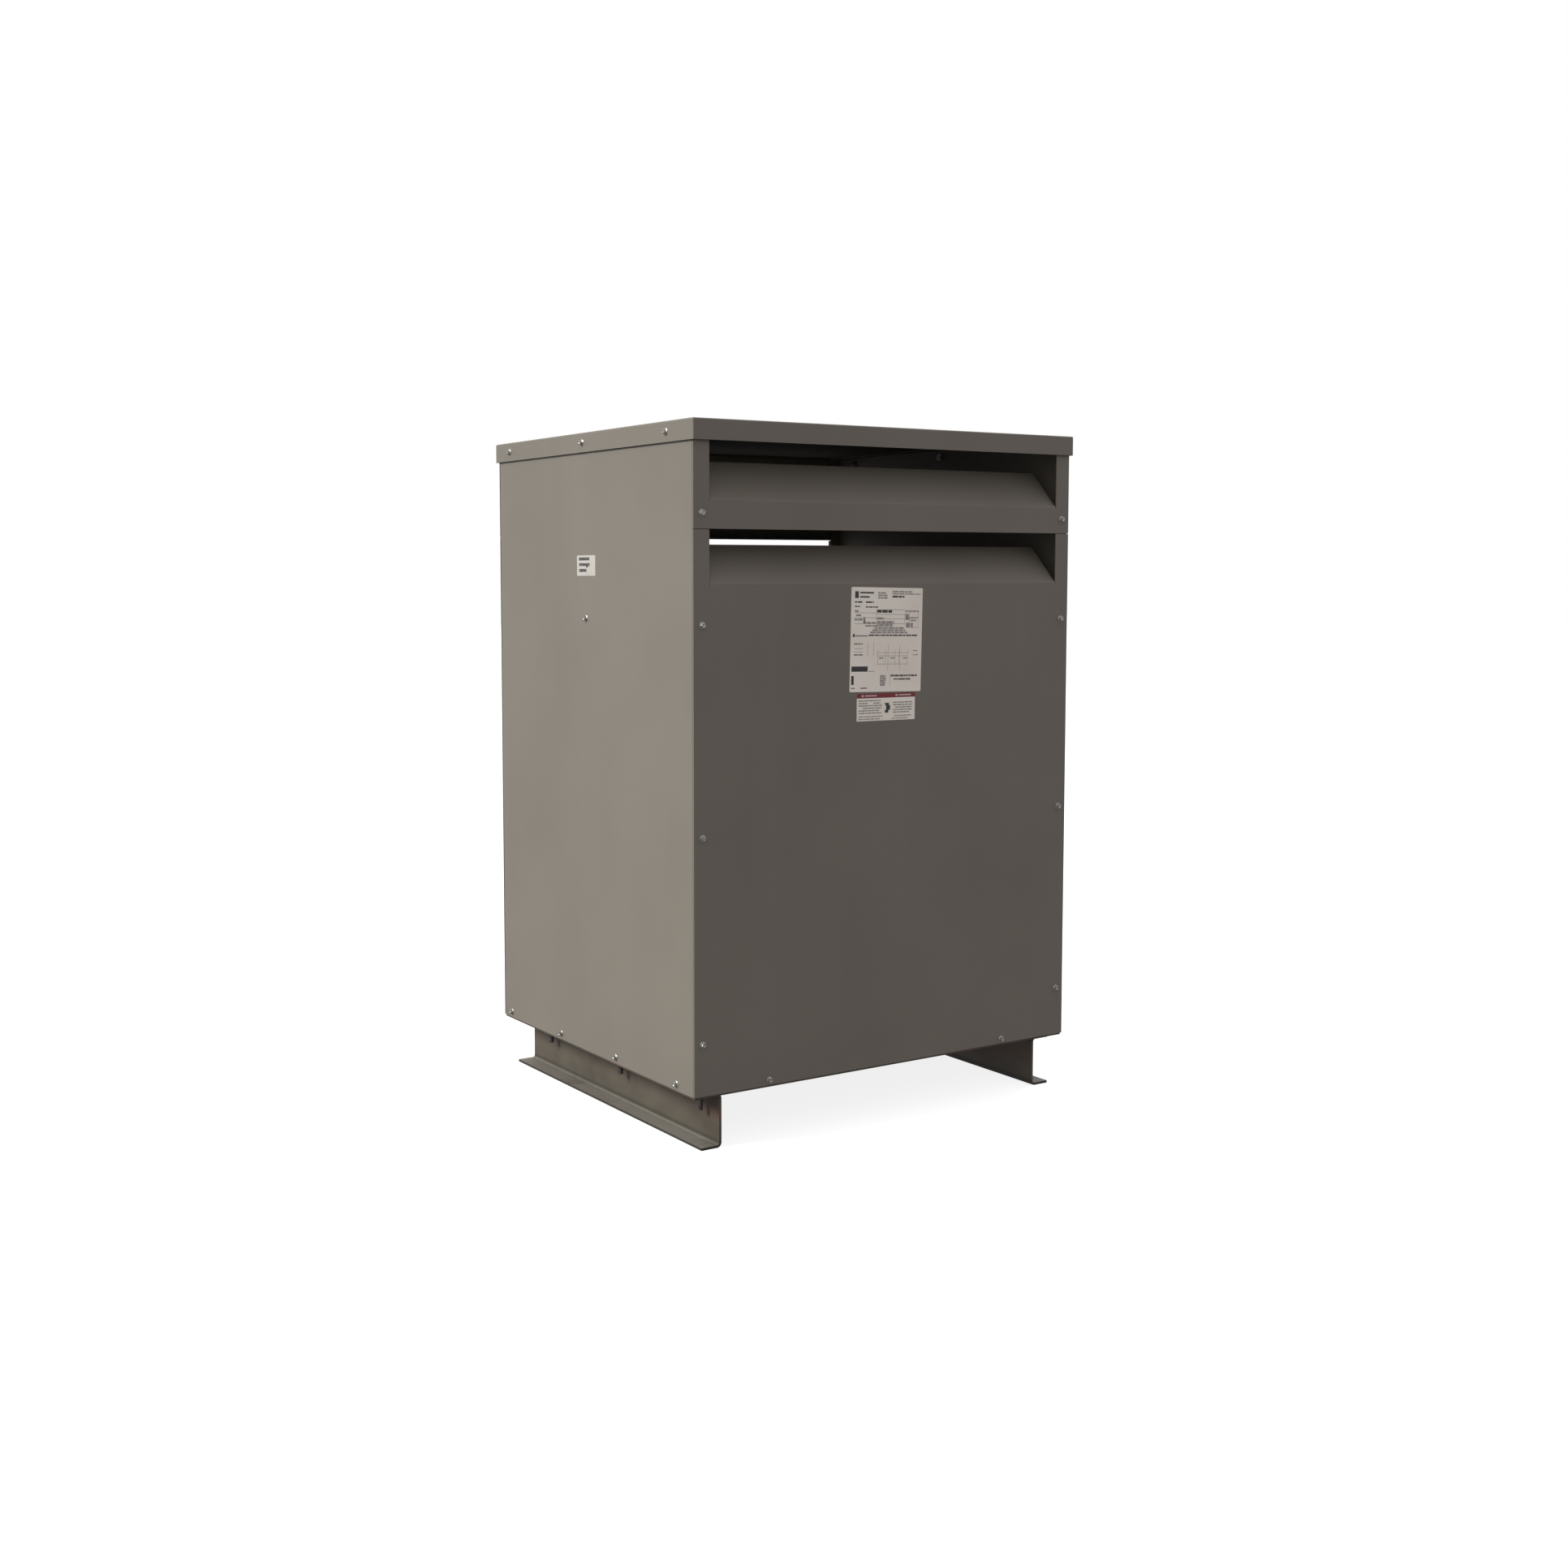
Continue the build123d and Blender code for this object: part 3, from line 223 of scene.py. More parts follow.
# bare and plated metal
def metalFinish(name, look):
    finish = newFinish(name)
    brushed = finish.noise(1.0, 4, finish.stretch(look["grain"]))
    stain = finish.noise(look["stainScale"], 4)
    tone = finish.mix(finish.smooth(stain, *look["stainBand"]), look["colour"], look["stain"])
    scratches = finish.smooth(brushed, *look["brushBand"]) * look["brushMix"]
    tone = finish.mix(scratches, tone, shade(look["colour"], look["brushShade"]))
    rough = look["rough"] + stain * look["roughSpread"] + brushed * look["brushRough"]
    normal = finish.bump(brushed, look["bump"], look["bumpDepth"], look["edge"])
    return finish.shader(Base_Color=tone, Roughness=rough, Metallic=look["metallic"], Normal=normal)


zincLook = {
    "colour": (0.5, 0.49, 0.46), "stain": (0.3, 0.29, 0.27), "stainScale": 240.0,
    "grain": (900.0, 900.0, 900.0), "rough": 0.22, "roughSpread": 0.16, "bump": 0.12,
    "edge": 0.3 * mm, "metallic": 0.95, "stainBand": (0.35, 0.7), "brushBand": (0.4, 0.75),
    "brushMix": 0.35, "brushShade": 0.7, "brushRough": 0.08, "bumpDepth": 0.2 * mm,
}
aluminiumLook = dict(
    zincLook, colour=(0.7, 0.7, 0.69), stain=(0.55, 0.55, 0.54), stainScale=30.0,
    grain=(40.0, 900.0, 40.0), rough=0.3,
)
# a darker copy of the zinc finish, which paints shade onto the bolts and nuts under the pan
shadedZincLook = dict(
    zincLook, colour=(0.16, 0.15, 0.14), stain=(0.06, 0.05, 0.045), rough=0.4, metallic=0.8,
)
brassLook = dict(zincLook, colour=(0.66, 0.47, 0.2), stain=(0.42, 0.28, 0.12), stainScale=180.0)
copperLook = dict(zincLook, colour=(0.7, 0.33, 0.18), stain=(0.4, 0.17, 0.1), stainScale=60.0)


# stacked core sheets, which lie across the depth
def laminationFinish(name, look):
    finish = newFinish(name)
    sheets = finish.noise(1.0, 2, finish.stretch(look["sheets"]))
    clouds = finish.noise(look["cloudScale"], 4)
    tone = finish.mix(finish.smooth(sheets, *look["sheetBand"]), look["gap"], look["colour"])
    rusty = finish.smooth(clouds, *look["rustBand"]) * look["rustMix"]
    tone = finish.mix(rusty, tone, look["rust"])
    rough = look["rough"] + clouds * look["roughSpread"]
    normal = finish.bump(sheets, look["bump"], look["bumpDepth"])
    return finish.shader(Base_Color=tone, Roughness=rough, Metallic=look["metallic"], Normal=normal)


coreLook = {
    "colour": (0.2, 0.2, 0.21), "gap": (0.06, 0.06, 0.065), "rust": (0.13, 0.085, 0.06),
    "sheets": (3.0, 1100.0, 3.0), "cloudScale": 22.0, "sheetBand": (0.35, 0.65),
    "rustBand": (0.5, 0.72), "rustMix": 0.5, "rough": 0.42, "roughSpread": 0.25, "bump": 0.5,
    "bumpDepth": 0.6 * mm, "metallic": 0.55,
}


# varnished windings, whose turns lie level
def windingFinish(name, look):
    finish = newFinish(name)
    turns = finish.noise(1.0, 2, finish.stretch(look["turns"]))
    runs = finish.noise(1.0, 4, finish.stretch(look["runs"]))
    tone = finish.mix(finish.smooth(turns, *look["turnBand"]), look["deep"], look["colour"])
    tone = finish.mix(finish.smooth(runs, *look["runBand"]) * look["runMix"], tone, look["varnish"])
    rough = look["rough"] + runs * look["roughSpread"]
    normal = finish.bump(turns, look["bump"], look["bumpDepth"])
    return finish.shader(
        Base_Color=tone, Roughness=rough, Metallic=look["metallic"], Normal=normal,
        Coat_Weight=look["coat"] + runs * look["coatSpread"], Coat_Roughness=look["coatRough"],
    )


highLook = {
    "colour": (0.3, 0.13, 0.05), "deep": (0.1, 0.04, 0.018), "varnish": (0.42, 0.24, 0.1),
    "turns": (6.0, 6.0, 420.0), "runs": (60.0, 60.0, 9.0), "rough": 0.32, "bump": 0.35,
    "metallic": 0.0, "coat": 0.4, "turnBand": (0.3, 0.7), "runBand": (0.5, 0.8), "runMix": 0.6,
    "roughSpread": 0.25, "bumpDepth": 0.6 * mm, "coatSpread": 0.2, "coatRough": 0.18,
}
lowLook = dict(
    highLook, colour=(0.56, 0.52, 0.44), deep=(0.34, 0.31, 0.26), varnish=(0.46, 0.33, 0.17),
    turns=(240.0, 240.0, 3.0), runs=(30.0, 30.0, 6.0), rough=0.36, bump=0.25, metallic=0.3,
    coat=0.15,
)


# insulating board, tube, resin, rubber and sleeve
def fibreFinish(name, look):
    finish = newFinish(name)
    fibre = finish.noise(1.0, 3, finish.stretch(look["fibre"]))
    clouds = finish.noise(look["cloudScale"], 4)
    tone = finish.mix(finish.smooth(fibre, *look["fibreBand"]), look["dark"], look["colour"])
    yellowed = finish.smooth(clouds, *look["agedBand"]) * look["agedMix"]
    tone = finish.mix(yellowed, tone, look["aged"])
    rough = look["rough"] + clouds * look["roughSpread"]
    normal = finish.bump(fibre, look["bump"], look["bumpDepth"])
    return finish.shader(Base_Color=tone, Roughness=rough, Normal=normal)


tubeLook = {
    "colour": (0.62, 0.55, 0.38), "dark": (0.45, 0.38, 0.25), "aged": (0.42, 0.3, 0.15),
    "fibre": (260.0, 260.0, 40.0), "cloudScale": 20.0, "rough": 0.5, "bump": 0.2,
    "fibreBand": (0.35, 0.7), "agedBand": (0.45, 0.75), "agedMix": 0.5, "roughSpread": 0.2,
    "bumpDepth": 0.4 * mm,
}
boardLook = dict(
    tubeLook, colour=(0.42, 0.1, 0.06), dark=(0.3, 0.06, 0.035), aged=(0.3, 0.1, 0.06),
    fibre=(400.0, 400.0, 400.0), rough=0.45,
)
resinLook = dict(boardLook, colour=(0.5, 0.07, 0.04), dark=(0.38, 0.05, 0.03), rough=0.3)
rubberLook = dict(
    tubeLook, colour=(0.022, 0.022, 0.023), dark=(0.012, 0.012, 0.013),
    aged=(0.05, 0.048, 0.045), fibre=(500.0, 500.0, 500.0), rough=0.62, bump=0.3,
)
sleeveLook = dict(
    tubeLook, colour=(0.5, 0.4, 0.24), dark=(0.32, 0.24, 0.13), fibre=(700.0, 700.0, 700.0),
    rough=0.5, bump=0.5,
)


# printed film and its inks
def filmFinish(name, look):
    finish = newFinish(name)
    clouds = finish.noise(look["cloudScale"], 4)
    grain = finish.noise(look["grainScale"], 1)
    tone = finish.mix(finish.smooth(clouds, *look["agedBand"]), look["colour"], look["aged"])
    grains = finish.smooth(grain, *look["grainBand"]) * look["grainMix"]
    tone = finish.mix(grains, tone, shade(look["colour"], look["grainShade"]))
    rough = look["rough"] + clouds * look["roughSpread"]
    normal = finish.bump(grain, look["bump"], look["bumpDepth"])
    return finish.shader(Base_Color=tone, Roughness=rough, Normal=normal)


filmLook = {
    "colour": (0.86, 0.81, 0.71), "aged": (0.78, 0.72, 0.62), "rough": 0.3, "roughSpread": 0.12,
    "cloudScale": 14.0, "agedBand": (0.35, 0.75), "grainScale": 900.0, "grainBand": (0.6, 0.8),
    "grainMix": 0.2, "grainShade": 0.85, "bump": 0.05, "bumpDepth": 0.1 * mm,
}
stickerLook = dict(filmLook, colour=(0.44, 0.42, 0.375), aged=(0.36, 0.34, 0.3), rough=0.4)
darkInkLook = dict(filmLook, colour=(0.035, 0.033, 0.033), aged=(0.06, 0.055, 0.052), rough=0.35)
greyInkLook = dict(filmLook, colour=(0.27, 0.25, 0.23), aged=(0.36, 0.33, 0.3), rough=0.35)
redInkLook = dict(filmLook, colour=(0.2, 0.022, 0.03), aged=(0.15, 0.02, 0.026), rough=0.35)
paleInkLook = dict(filmLook, colour=(0.55, 0.42, 0.4), aged=(0.45, 0.32, 0.31), rough=0.35)

finishes = {
    "cabinet_paint": paintFinish("cabinetPaint", cabinetLook),
    "foot_paint": paintFinish("footPaint", footLook),
    "clamp_paint": paintFinish("clampPaint", clampLook),
    "zinc_steel": metalFinish("zincSteel", zincLook),
    "bus_aluminium": metalFinish("busAluminium", aluminiumLook),
    "stud_brass": metalFinish("studBrass", brassLook),
    "strap_copper": metalFinish("strapCopper", copperLook),
    "core_steel": laminationFinish("coreSteel", coreLook),
    "high_winding_varnish": windingFinish("highWindingVarnish", highLook),
    "low_winding_foil": windingFinish("lowWindingFoil", lowLook),
    "insulation_tube": fibreFinish("insulationTube", tubeLook),
    "insulation_board": fibreFinish("insulationBoard", boardLook),
    "standoff_resin": fibreFinish("standoffResin", resinLook),
    "isolator_rubber": fibreFinish("isolatorRubber", rubberLook),
    "lead_sleeve": fibreFinish("leadSleeve", sleeveLook),
    "nameplate_film": filmFinish("nameplateFilm", filmLook),
    "label_film": filmFinish("labelFilm", filmLook),
}
for part in frame["record"]["subparts"]:
    mesh = frame["nodes"][part["node"]].data
    mesh.materials.clear()
    mesh.materials.append(finishes[part["material_slot"]])
# painted shade: the bolts and nuts under the pan get a darker copy of the zinc finish, for the
# shade they hang in
shadedZincSteel = metalFinish("shadedZincSteel", shadedZincLook)
for node in ("pan_bolts", "pan_nuts"):
    frame["nodes"][node].data.materials[0] = shadedZincSteel
frame["nodes"]["side_label"].data.materials[0] = filmFinish("stickerFilm", stickerLook)


# modelling steps that several pieces share
def openPiece(name):  # a new piece with an empty mesh, left in edit mode
    bpy.ops.object.select_all(action="DESELECT")
    piece = bpy.data.objects.new(name, bpy.data.meshes.new(name))
    bpy.context.scene.collection.objects.link(piece)
    bpy.context.view_layer.objects.active = piece
    piece.select_set(True)
    bpy.ops.object.mode_set(mode="EDIT")
    bpy.ops.mesh.select_mode(type="FACE")
    return piece


def extrudeBy(x, y, z):
    bpy.ops.mesh.extrude_region_move(TRANSFORM_OT_translate={"value": (x, y, z)})


def scaleBy(factor, centre):
    bpy.ops.transform.resize(value=(factor, factor, 1), center_override=centre)


def closePiece(piece, finish):
    bpy.ops.mesh.select_all(action="SELECT")
    bpy.ops.mesh.normals_make_consistent(inside=False)
    bpy.ops.object.mode_set(mode="OBJECT")
    piece.data.materials.append(finish)


def selectFaces(piece, wanted):  # picks faces by a test on each face, in edit mode
    bpy.ops.mesh.select_all(action="DESELECT")
    bpy.ops.object.mode_set(mode="OBJECT")
    for face in piece.data.polygons:
        face.select = wanted(face)
    bpy.ops.object.mode_set(mode="EDIT")


# hexagon washer-head screws
screwLook = {
    "flangeRadius": 6.0 * mm, "rim": 0.5 * mm, "slope": 0.9 * mm, "slopeScale": 0.74,
    "acrossCorners": 4.62 * mm, "headLow": 1.0 * mm, "headHigh": 4.9 * mm, "edge": 0.45 * mm,
    "dishScale": 0.66, "dishDepth": 0.7 * mm, "shank": 2.65 * mm, "crest": 1.13,
    "pitch": 1.0 * mm, "threads": 15, "sides": 20, "shankSides": 12, "smoothTo": 30.0,
    "edgeSteps": 2, "flat": 0.99, "topReach": 0.1 * mm,
}
look = screwLook
headHeight = look["headHigh"] - look["headLow"]


def facesUp(face):
    return face.normal.z > screwLook["flat"]


def headTop(face):
    return facesUp(face) and face.center.z > screwLook["headHigh"] - screwLook["topReach"]


screw = openPiece("screwPattern")
bpy.ops.mesh.primitive_cylinder_add(
    vertices=look["sides"], radius=look["flangeRadius"], depth=look["rim"],
    location=(0, 0, look["rim"] / 2),
)
selectFaces(screw, facesUp)
extrudeBy(0, 0, look["slope"])
scaleBy(look["slopeScale"], (0, 0, 0))
bpy.ops.mesh.primitive_cylinder_add(
    vertices=6, radius=look["acrossCorners"], depth=headHeight,
    location=(0, 0, look["headLow"] + headHeight / 2),
)
selectFaces(screw, headTop)
bpy.ops.mesh.bevel(offset=look["edge"], segments=look["edgeSteps"], affect="EDGES")
selectFaces(screw, headTop)
extrudeBy(0, 0, 0)
scaleBy(look["dishScale"], (0, 0, 0))
extrudeBy(0, 0, -look["dishDepth"])
scaleBy(look["dishScale"], (0, 0, 0))
bpy.ops.mesh.select_all(action="DESELECT")
bpy.ops.mesh.primitive_circle_add(
    vertices=look["shankSides"], radius=look["shank"], fill_type="NGON", location=(0, 0, 0),
)
for _ in range(look["threads"]):
    extrudeBy(0, 0, -look["pitch"] / 2)
    scaleBy(look["crest"], (0, 0, 0))
    extrudeBy(0, 0, -look["pitch"] / 2)
    scaleBy(1 / look["crest"], (0, 0, 0))
closePiece(screw, finishes["zinc_steel"])
bpy.ops.object.shade_smooth_by_angle(angle=math.radians(look["smoothTo"]))

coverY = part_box("front_lower_cover")[0].y
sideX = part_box("left_side_panel")[0].x
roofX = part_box("roof_cover")[1].x
screwPlaces = {
    "coverX": 388.0 * mm, "coverZ": (181.0 * mm, 520.5 * mm, 865.0 * mm), "upperZ": 1045.0 * mm,
    "bottomX": 256.0 * mm, "bottomZ": 103.0 * mm, "sideZ": 106.0 * mm,
    "sideY": (-289.0 * mm, -88.5 * mm, 112.0 * mm, 312.5 * mm), "roofZ": 1177.85 * mm,
    "roofY": (-269.0 * mm, 12.0 * mm, 293.0 * mm), "bracket": (8.0 * mm, 871.0 * mm),
}


def placeScrews(name, body, node, seats):
    copies = []
    dice = random.Random(len(name))
    for place, out in seats:
        copy = screw.copy()
        copy.data = screw.data.copy()
        bpy.context.scene.collection.objects.link(copy)
        spin = Matrix.Rotation(dice.uniform(0, math.pi), 4, "Z")
        turned = Vector(out).to_track_quat("Z", "Y").to_matrix().to_4x4()
        copy.data.transform(Matrix.Translation(place) @ turned @ spin)
        copies.append(copy)
    bpy.ops.object.select_all(action="DESELECT")
    for copy in copies:
        copy.select_set(True)
    bpy.context.view_layer.objects.active = copies[0]
    bpy.ops.object.join()
    copies[0].name = name
    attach(copies[0], body)
    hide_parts(node)


look = screwPlaces
cabinetSeats = []
for sign in (-1, 1):
    facing = (0, sign, 0)
    cabinetSeats += [((x, -sign * coverY, look["upperZ"]), facing) for x in
                     (-look["coverX"], look["coverX"])]
    cabinetSeats += [((sign * roofX, y, look["roofZ"]), (sign, 0, 0)) for y in look["roofY"]]
    cabinetSeats += [((-sign * sideX, y, look["sideZ"]), (sign, 0, 0)) for y in look["sideY"]]
cabinetSeats.append(((sideX, *look["bracket"]), (-1, 0, 0)))
placeScrews("cabinetScrewSet", "cabinet", "cabinet_screws", cabinetSeats)
for face, sign in (("front", -1), ("rear", 1)):
    seats = [((x, -sign * coverY, z), (0, sign, 0)) for z in look["coverZ"]
             for x in (-look["coverX"], look["coverX"])]
    seats += [((x, -sign * coverY, look["bottomZ"]), (0, sign, 0)) for x in
              (-look["bottomX"], look["bottomX"])]
    placeScrews(f"{face}CoverScrewSet", f"{face}_access_cover", f"{face}_lower_cover_screws", seats)
bpy.data.objects.remove(screw)
print("screws placed")


# ribbed high-voltage windings: a wall of turns outside, smooth bore inside
windingLook = {
    "corner": 24.0 * mm, "cornerSteps": 5, "build": 20.0 * mm, "turn": 6.0 * mm,
    "groove": 1.1 * mm, "crown": 0.6, "weld": 0.01 * mm, "smoothTo": 40.0,
}


def buildWinding(name, node):
    look = windingLook
    low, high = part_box(node)
    centre = (low + high) / 2
    halfX, halfY = high.x - centre.x, high.y - centre.y
    base = (centre.x, centre.y, low.z)
    piece = openPiece(name)
    bpy.ops.mesh.primitive_plane_add(size=1, location=base)
    bpy.ops.transform.resize(value=(2 * halfX, 2 * halfY, 1), center_override=base)
    bpy.ops.mesh.bevel(offset=look["corner"], segments=look["cornerSteps"], affect="VERTICES")
    bpy.ops.mesh.delete(type="ONLY_FACE")
    bpy.ops.mesh.select_mode(type="EDGE")
    bpy.ops.mesh.select_all(action="SELECT")
    turns = round((high.z - low.z) / look["turn"])
    pitch = (high.z - low.z) / turns
    gap = pitch * (1 - look["crown"])
    inward = (1 - look["groove"] / halfX, 1 - look["groove"] / halfY)
    outward = (1 / inward[0], 1 / inward[1])
    bore = (1 - look["build"] / halfX, 1 - look["build"] / halfY)

    def step(rise, across=(1.0, 1.0)):
        bpy.ops.mesh.extrude_edges_move(TRANSFORM_OT_translate={"value": (0, 0, rise)})
        bpy.ops.transform.resize(value=(*across, 1), center_override=base)

    for _ in range(turns):
        step(gap / 2)
        step(pitch * look["crown"])
        step(gap / 4, inward)
        step(gap / 4, outward)
    step(0, bore)
    step(low.z - high.z)
    step(0, (1 / bore[0], 1 / bore[1]))
    bpy.ops.mesh.select_all(action="SELECT")
    bpy.ops.mesh.remove_doubles(threshold=look["weld"])
    closePiece(piece, finishes["high_winding_varnish"])
    bpy.ops.object.shade_smooth_by_angle(angle=math.radians(look["smoothTo"]))
    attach(piece, "cabinet")
    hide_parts(node)


for side in ("left", "centre", "right"):
    buildWinding(f"{side}HighWinding", f"{side}_high_voltage_winding")
print("windings wound")


# printing on the plates
# a mark is (left, top, right, bottom) in shares of its sheet, from the top left corner
wordLook = {"shortest": 0.02, "longest": 0.09, "space": 0.008, "leastRoom": 0.01, "inked": 0.96}


def wordRow(left, top, right, height, seed):
    look = wordLook
    dice = random.Random(seed)
    marks = []
    while left < right - look["leastRoom"]:
        word = min(dice.uniform(look["shortest"], look["longest"]), right - left)
        if dice.random() < look["inked"]:
            marks.append((left, top, left + word, top + height))
        left += word + look["space"]
    return marks


def ruleGrid(left, top, right, bottom, across, down, weight=0.004):
    marks = []
    for share in down:
        at = left + share * (right - left)
        marks.append((at, top, at + weight, bottom))
    for share in across:
        at = top + share * (bottom - top)
        marks.append((left, at, right, at + weight))
    return marks


def printSheet(name, marks, size, place, tilt, turn, lift, finish, body, slot):
    piece = openPiece(name)
    width, height = size
    for left, top, right, bottom in marks:
        middle = (((left + right) / 2 - 0.5) * width, (0.5 - (top + bottom) / 2) * height, 0)
        bpy.ops.mesh.primitive_plane_add(size=1, location=middle)
        bpy.ops.transform.resize(
            value=((right - left) * width, (bottom - top) * height, 1), center_override=middle,
        )
    bpy.ops.mesh.select_all(action="SELECT")
    extrudeBy(0, 0, lift)
    closePiece(piece, finish)
    turned = Matrix.Rotation(math.radians(turn), 4, "Z")
    standing = Matrix.Rotation(math.radians(90), 4, "X")
    tilted = Matrix.Rotation(math.radians(-tilt), 4, "Z")
    piece.data.transform(Matrix.Translation(place) @ turned @ standing @ tilted)
    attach(piece, body)
    return piece


darkInk = filmFinish("darkInk", darkInkLook)
greyInk = filmFinish("greyInk", greyInkLook)
redInk = filmFinish("redInk", redInkLook)
paleInk = filmFinish("paleInk", paleInkLook)
ink = 0.06 * mm

nameplatePrint = {
    "size": (154.0 * mm, 178.0 * mm), "tilt": 1.2, "greyWeight": 1.25, "greySeed": 100,
    "greyLift": 0.8, "ruleLift": 0.6, "dash": [(0.15, 0.958, 0.24, 0.968)],
    "dark": [
        (0.05, 0.04, 0.1, 0.105), (0.12, 0.045, 0.31, 0.06), (0.12, 0.085, 0.25, 0.1),
        (0.02, 0.755, 0.245, 0.805), (0.02, 0.845, 0.055, 0.93), (0.03, 0.445, 0.055, 0.475),
        (0.06, 0.46, 0.24, 0.468),
    ],
    "rows": [
        (0.57, 0.076, 0.74, 0.018), (0.05, 0.135, 0.15, 0.014), (0.2, 0.135, 0.31, 0.014),
        (0.05, 0.178, 0.12, 0.012), (0.2, 0.182, 0.37, 0.012), (0.36, 0.215, 0.57, 0.026),
        (0.25, 0.45, 0.95, 0.014), (0.57, 0.84, 0.95, 0.014), (0.57, 0.872, 0.86, 0.014),
        (0.05, 0.535, 0.17, 0.01), (0.05, 0.64, 0.17, 0.01),
    ],
    "greyRows": [
        (0.37, 0.045, 0.48, 0.012), (0.37, 0.068, 0.5, 0.012), (0.37, 0.092, 0.5, 0.012),
        (0.57, 0.03, 0.85, 0.012), (0.57, 0.052, 0.97, 0.01), (0.05, 0.22, 0.1, 0.014),
        (0.07, 0.26, 0.15, 0.014), (0.05, 0.3, 0.16, 0.014), (0.17, 0.285, 0.21, 0.04),
        (0.17, 0.33, 0.34, 0.014), (0.2, 0.36, 0.36, 0.012), (0.36, 0.285, 0.46, 0.018),
        (0.36, 0.32, 0.6, 0.02), (0.36, 0.35, 0.58, 0.018), (0.33, 0.378, 0.74, 0.014),
        (0.3, 0.4, 0.76, 0.014), (0.27, 0.422, 0.8, 0.014), (0.76, 0.22, 0.95, 0.01),
        (0.83, 0.28, 0.95, 0.012), (0.83, 0.305, 0.93, 0.012), (0.42, 0.84, 0.5, 0.016),
        (0.42, 0.862, 0.5, 0.016), (0.42, 0.884, 0.5, 0.016), (0.42, 0.906, 0.49, 0.016),
        (0.42, 0.928, 0.49, 0.012), (0.02, 0.958, 0.07, 0.01), (0.88, 0.6, 0.95, 0.008),
        (0.88, 0.64, 0.95, 0.008), (0.4, 0.67, 0.46, 0.01), (0.56, 0.67, 0.62, 0.01),
        (0.74, 0.67, 0.8, 0.01), (0.26, 0.8, 0.34, 0.006), (0.76, 0.25, 0.815, 0.03),
        (0.77, 0.335, 0.87, 0.02), (0.77, 0.36, 0.87, 0.015), (0.76, 0.285, 0.82, 0.02),
    ],
}
nameplateGrids = (
    (0.38, 0.6, 0.8, 0.74, (0.16, 0.38, 0.94), (0.0, 0.26, 0.58, 0.72, 1.0)),
    (0.24, 0.53, 0.33, 0.65, (), (0.0, 0.9)),
    (0.05, 0.53, 0.175, 0.65, (0.45, 0.72), ()),
    (0.35, 0.21, 0.75, 0.36, (0.0, 0.3, 0.58, 0.9), (0.0, 1.0)),
    (0.48, 0.55, 0.7, 0.8, (), (0.2, 0.95)),
    (0.05, 0.21, 0.35, 0.37, (0.2, 0.5, 0.85), ()),
    (0.76, 0.215, 0.95, 0.38, (0.0, 0.4, 1.0), (0.3, 0.95)),
    (0.56, 0.835, 0.95, 0.95, (0.0,), (0.0,)),
)
look = nameplatePrint
plateLow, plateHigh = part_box("nameplate")
plateCentre = (plateLow + plateHigh) / 2
platePlace = (plateCentre.x, plateLow.y, plateCentre.z)
darkMarks = list(look["dark"])
for seed, (left, top, right, height) in enumerate(look["rows"]):
    darkMarks += wordRow(left, top, right, height, seed)
greyMarks = []
for seed, (left, top, right, height) in enumerate(look["greyRows"]):
    height *= look["greyWeight"]
    greyMarks += wordRow(left, top, right, height, look["greySeed"] + seed)
gridMarks = []
for left, top, right, bottom, across, down in nameplateGrids:
    gridMarks += ruleGrid(left, top, right, bottom, across, down)
plateSpot = dict(size=look["size"], place=platePlace, tilt=look["tilt"], turn=0,
                 body="front_access_cover", slot="nameplate_film")
printSheet("nameplateDarkPrint", darkMarks, finish=darkInk, lift=ink, **plateSpot)
printSheet("nameplateGreyPrint", greyMarks, finish=greyInk, lift=ink * look["greyLift"],
           **plateSpot)
printSheet("nameplateRules", gridMarks, finish=greyInk, lift=ink * look["ruleLift"], **plateSpot)
printSheet("nameplateRedDash", look["dash"], finish=redInk, lift=ink, **plateSpot)

warningPrint = {
    "size": (126.0 * mm, 47.0 * mm), "tilt": 0.4, "seed": 300, "bandLift": 0.5, "paleLift": 1.2,
    "band": [(0.0, 0.0, 1.0, 0.17)],
    "pale": [(0.08, 0.05, 0.12, 0.12), (0.14, 0.06, 0.34, 0.11), (0.66, 0.05, 0.7, 0.12),
             (0.72, 0.06, 0.93, 0.11)],
    "mark": [(0.48, 0.36, 0.55, 0.44), (0.5, 0.44, 0.57, 0.62), (0.48, 0.62, 0.54, 0.72)],
    "rows": [(0.03, 0.24, 0.42, 0.045), (0.03, 0.33, 0.4, 0.045), (0.03, 0.42, 0.43, 0.045),
             (0.03, 0.51, 0.42, 0.045), (0.03, 0.6, 0.38, 0.045), (0.03, 0.69, 0.42, 0.045),
             (0.62, 0.33, 0.95, 0.045), (0.62, 0.42, 0.97, 0.045), (0.62, 0.51, 0.95, 0.045),
             (0.62, 0.6, 0.96, 0.045), (0.62, 0.69, 0.9, 0.045), (0.03, 0.82, 0.44, 0.04),
             (0.03, 0.91, 0.4, 0.04), (0.58, 0.82, 0.94, 0.04), (0.6, 0.91, 0.88, 0.04)],
}
look = warningPrint
warnLow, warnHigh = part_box("warning_label")
warnCentre = (warnLow + warnHigh) / 2
warnSpot = dict(size=look["size"], place=(warnCentre.x, warnLow.y, warnCentre.z),
                tilt=look["tilt"], turn=0, body="front_access_cover", slot="label_film")
warnMarks = []
for seed, (left, top, right, height) in enumerate(look["rows"]):
    warnMarks += wordRow(left, top, right, height, look["seed"] + seed)
printSheet("warningBand", look["band"], finish=redInk, lift=ink * look["bandLift"], **warnSpot)
printSheet("warningBandPrint", look["pale"], finish=paleInk, lift=ink * look["paleLift"],
           **warnSpot)
printSheet("warningMark", look["mark"], finish=darkInk, lift=ink, **warnSpot)
printSheet("warningPrint", warnMarks, finish=greyInk, lift=ink, **warnSpot)

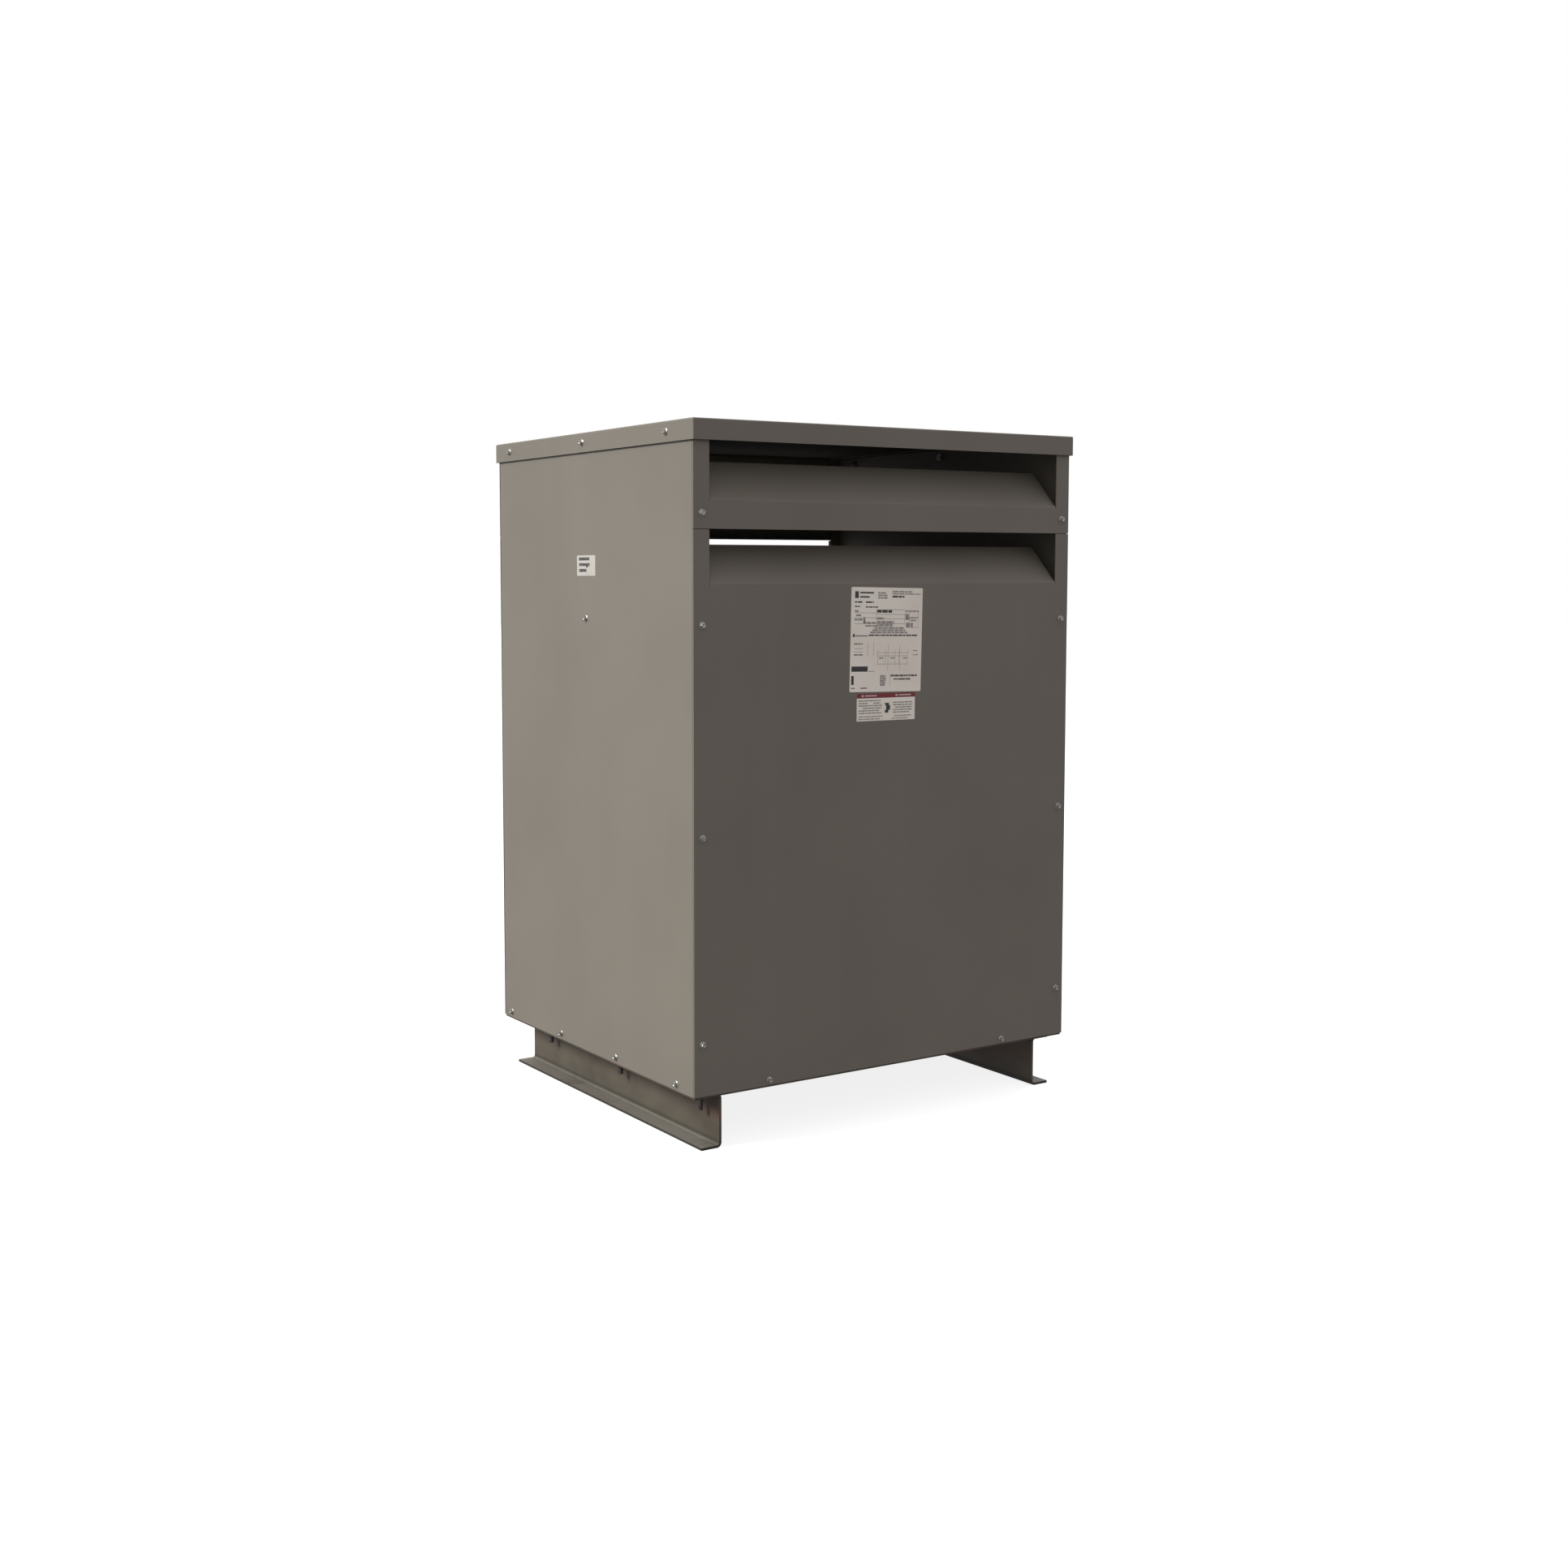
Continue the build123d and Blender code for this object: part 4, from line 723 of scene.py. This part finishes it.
stickerPrint = {
    "size": (66.0 * mm, 36.0 * mm), "tilt": 0.0, "turn": -90.0, "seed": 500,
    "rows": [(0.12, 0.1, 0.68, 0.15), (0.12, 0.38, 0.7, 0.14), (0.5, 0.5, 0.6, 0.1),
             (0.12, 0.66, 0.55, 0.15)],
}
look = stickerPrint
stickerLow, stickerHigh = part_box("side_label")
stickerCentre = (stickerLow + stickerHigh) / 2
stickerMarks = []
for seed, (left, top, right, height) in enumerate(look["rows"]):
    stickerMarks += wordRow(left, top, right, height, look["seed"] + seed)
printSheet(
    "sideLabelPrint", stickerMarks, size=look["size"], tilt=look["tilt"], turn=look["turn"],
    place=(stickerLow.x, stickerCentre.y, stickerCentre.z), finish=darkInk, lift=ink,
    body="cabinet", slot="label_film",
)
print("plates printed")


# floor, light and camera
stageLook = {
    "floorSize": 60.0, "floorColour": (0.3, 0.3, 0.3), "floorPatch": (0.33, 0.33, 0.33),
    "floorGlow": 0.85, "floorGrain": 0.4, "floorRough": 0.8, "skyShown": 1.0,
    "skyLight": 0.75, "skyBelow": 0.34, "skyBlend": 0.25, "skyTint": (0.99, 0.955, 0.99),
    "keyPower": 4.0, "keyTurn": -12.0, "keyRise": 34.0, "keySpread": 20.0,
    "fillPower": 1.1, "fillTurn": 203.0, "fillRise": 28.0, "fillSpread": 40.0,
}
bpy.ops.mesh.primitive_plane_add(size=stageLook["floorSize"])
floor = bpy.context.object
floor.name = "studioFloor"
floorFinish = newFinish("studioFloorFinish")
floorGrain = floorFinish.noise(stageLook["floorGrain"], 3)
floor.data.materials.append(floorFinish.shader(
    Base_Color=floorFinish.mix(floorGrain, stageLook["floorColour"], stageLook["floorPatch"]),
    Roughness=stageLook["floorRough"], Specular_IOR_Level=0.0, Emission_Color=(1, 1, 1),
    Emission_Strength=stageLook["floorGlow"],
))
floor.visible_diffuse = False
floor.visible_glossy = False

world = bpy.data.worlds.new("studio")
bpy.context.scene.world = world
sky = Finish(world)
upness = sky.add("SeparateXYZ", {}, {"Vector": sky.add("TexCoord", out="Generated")}, out="Z")
dimmed = sky.add("MapRange", {}, {
    "Value": upness, "From Min": -stageLook["skyBlend"], "From Max": stageLook["skyBlend"],
    "To Min": stageLook["skyBelow"],
})
shownSky = sky.add("Background", {}, {"Color": (1, 1, 1), "Strength": stageLook["skyShown"]})
lightSky = sky.add("Background", {}, {
    "Color": stageLook["skyTint"], "Strength": dimmed * stageLook["skyLight"],
})
seen = sky.add("LightPath", out="Is Camera Ray")
skyMix = sky.add("MixShader", {}, {0: seen, 1: lightSky, 2: shownSky})
sky.add("OutputWorld", {}, {"Surface": skyMix})


def addSun(name, power, spread, turn, rise):
    light = bpy.data.lights.new(name, "SUN")
    light.energy = power
    light.angle = math.radians(spread)
    sun = bpy.data.objects.new(name, light)
    bpy.context.scene.collection.objects.link(sun)
    turn, rise = math.radians(turn), math.radians(rise)
    towards = Vector((
        math.cos(rise) * math.cos(turn), math.cos(rise) * math.sin(turn), -math.sin(rise),
    ))
    sun.rotation_mode = "QUATERNION"
    sun.rotation_quaternion = towards.to_track_quat("-Z", "Y")


for sun in ("key", "fill"):
    addSun(f"{sun}Sun", stageLook[f"{sun}Power"], stageLook[f"{sun}Spread"],
           stageLook[f"{sun}Turn"], stageLook[f"{sun}Rise"])

cameraLook = {
    "place": (-1.9659, -2.8115, 0.9430), "turn": 31.775, "tilt": -4.492, "roll": -0.1685,
    "lens": 41.909, "sensor": 36.0, "shift": (0.06896, -0.04054),
}
cameraData = bpy.data.cameras.new("studioCamera")
camera = bpy.data.objects.new("studioCamera", cameraData)
bpy.context.scene.collection.objects.link(camera)
cameraData.sensor_width = cameraLook["sensor"]
cameraData.lens = cameraLook["lens"]
cameraData.shift_x, cameraData.shift_y = cameraLook["shift"]
turn, tilt, roll = (math.radians(cameraLook[key]) for key in ("turn", "tilt", "roll"))
ahead = Vector((math.cos(tilt) * math.sin(turn), math.cos(tilt) * math.cos(turn), math.sin(tilt)))
right = Vector((math.cos(turn), -math.sin(turn), 0))
up = right.cross(ahead)
right, up = (
    math.cos(roll) * right + math.sin(roll) * up, math.cos(roll) * up - math.sin(roll) * right,
)
camera.matrix_world = Matrix.Translation(cameraLook["place"]) @ Matrix(
    (right, up, -ahead)
).transposed().to_4x4()
bpy.context.scene.camera = camera
bpy.context.scene.view_settings.view_transform = "Standard"
print("floor, light and camera set")
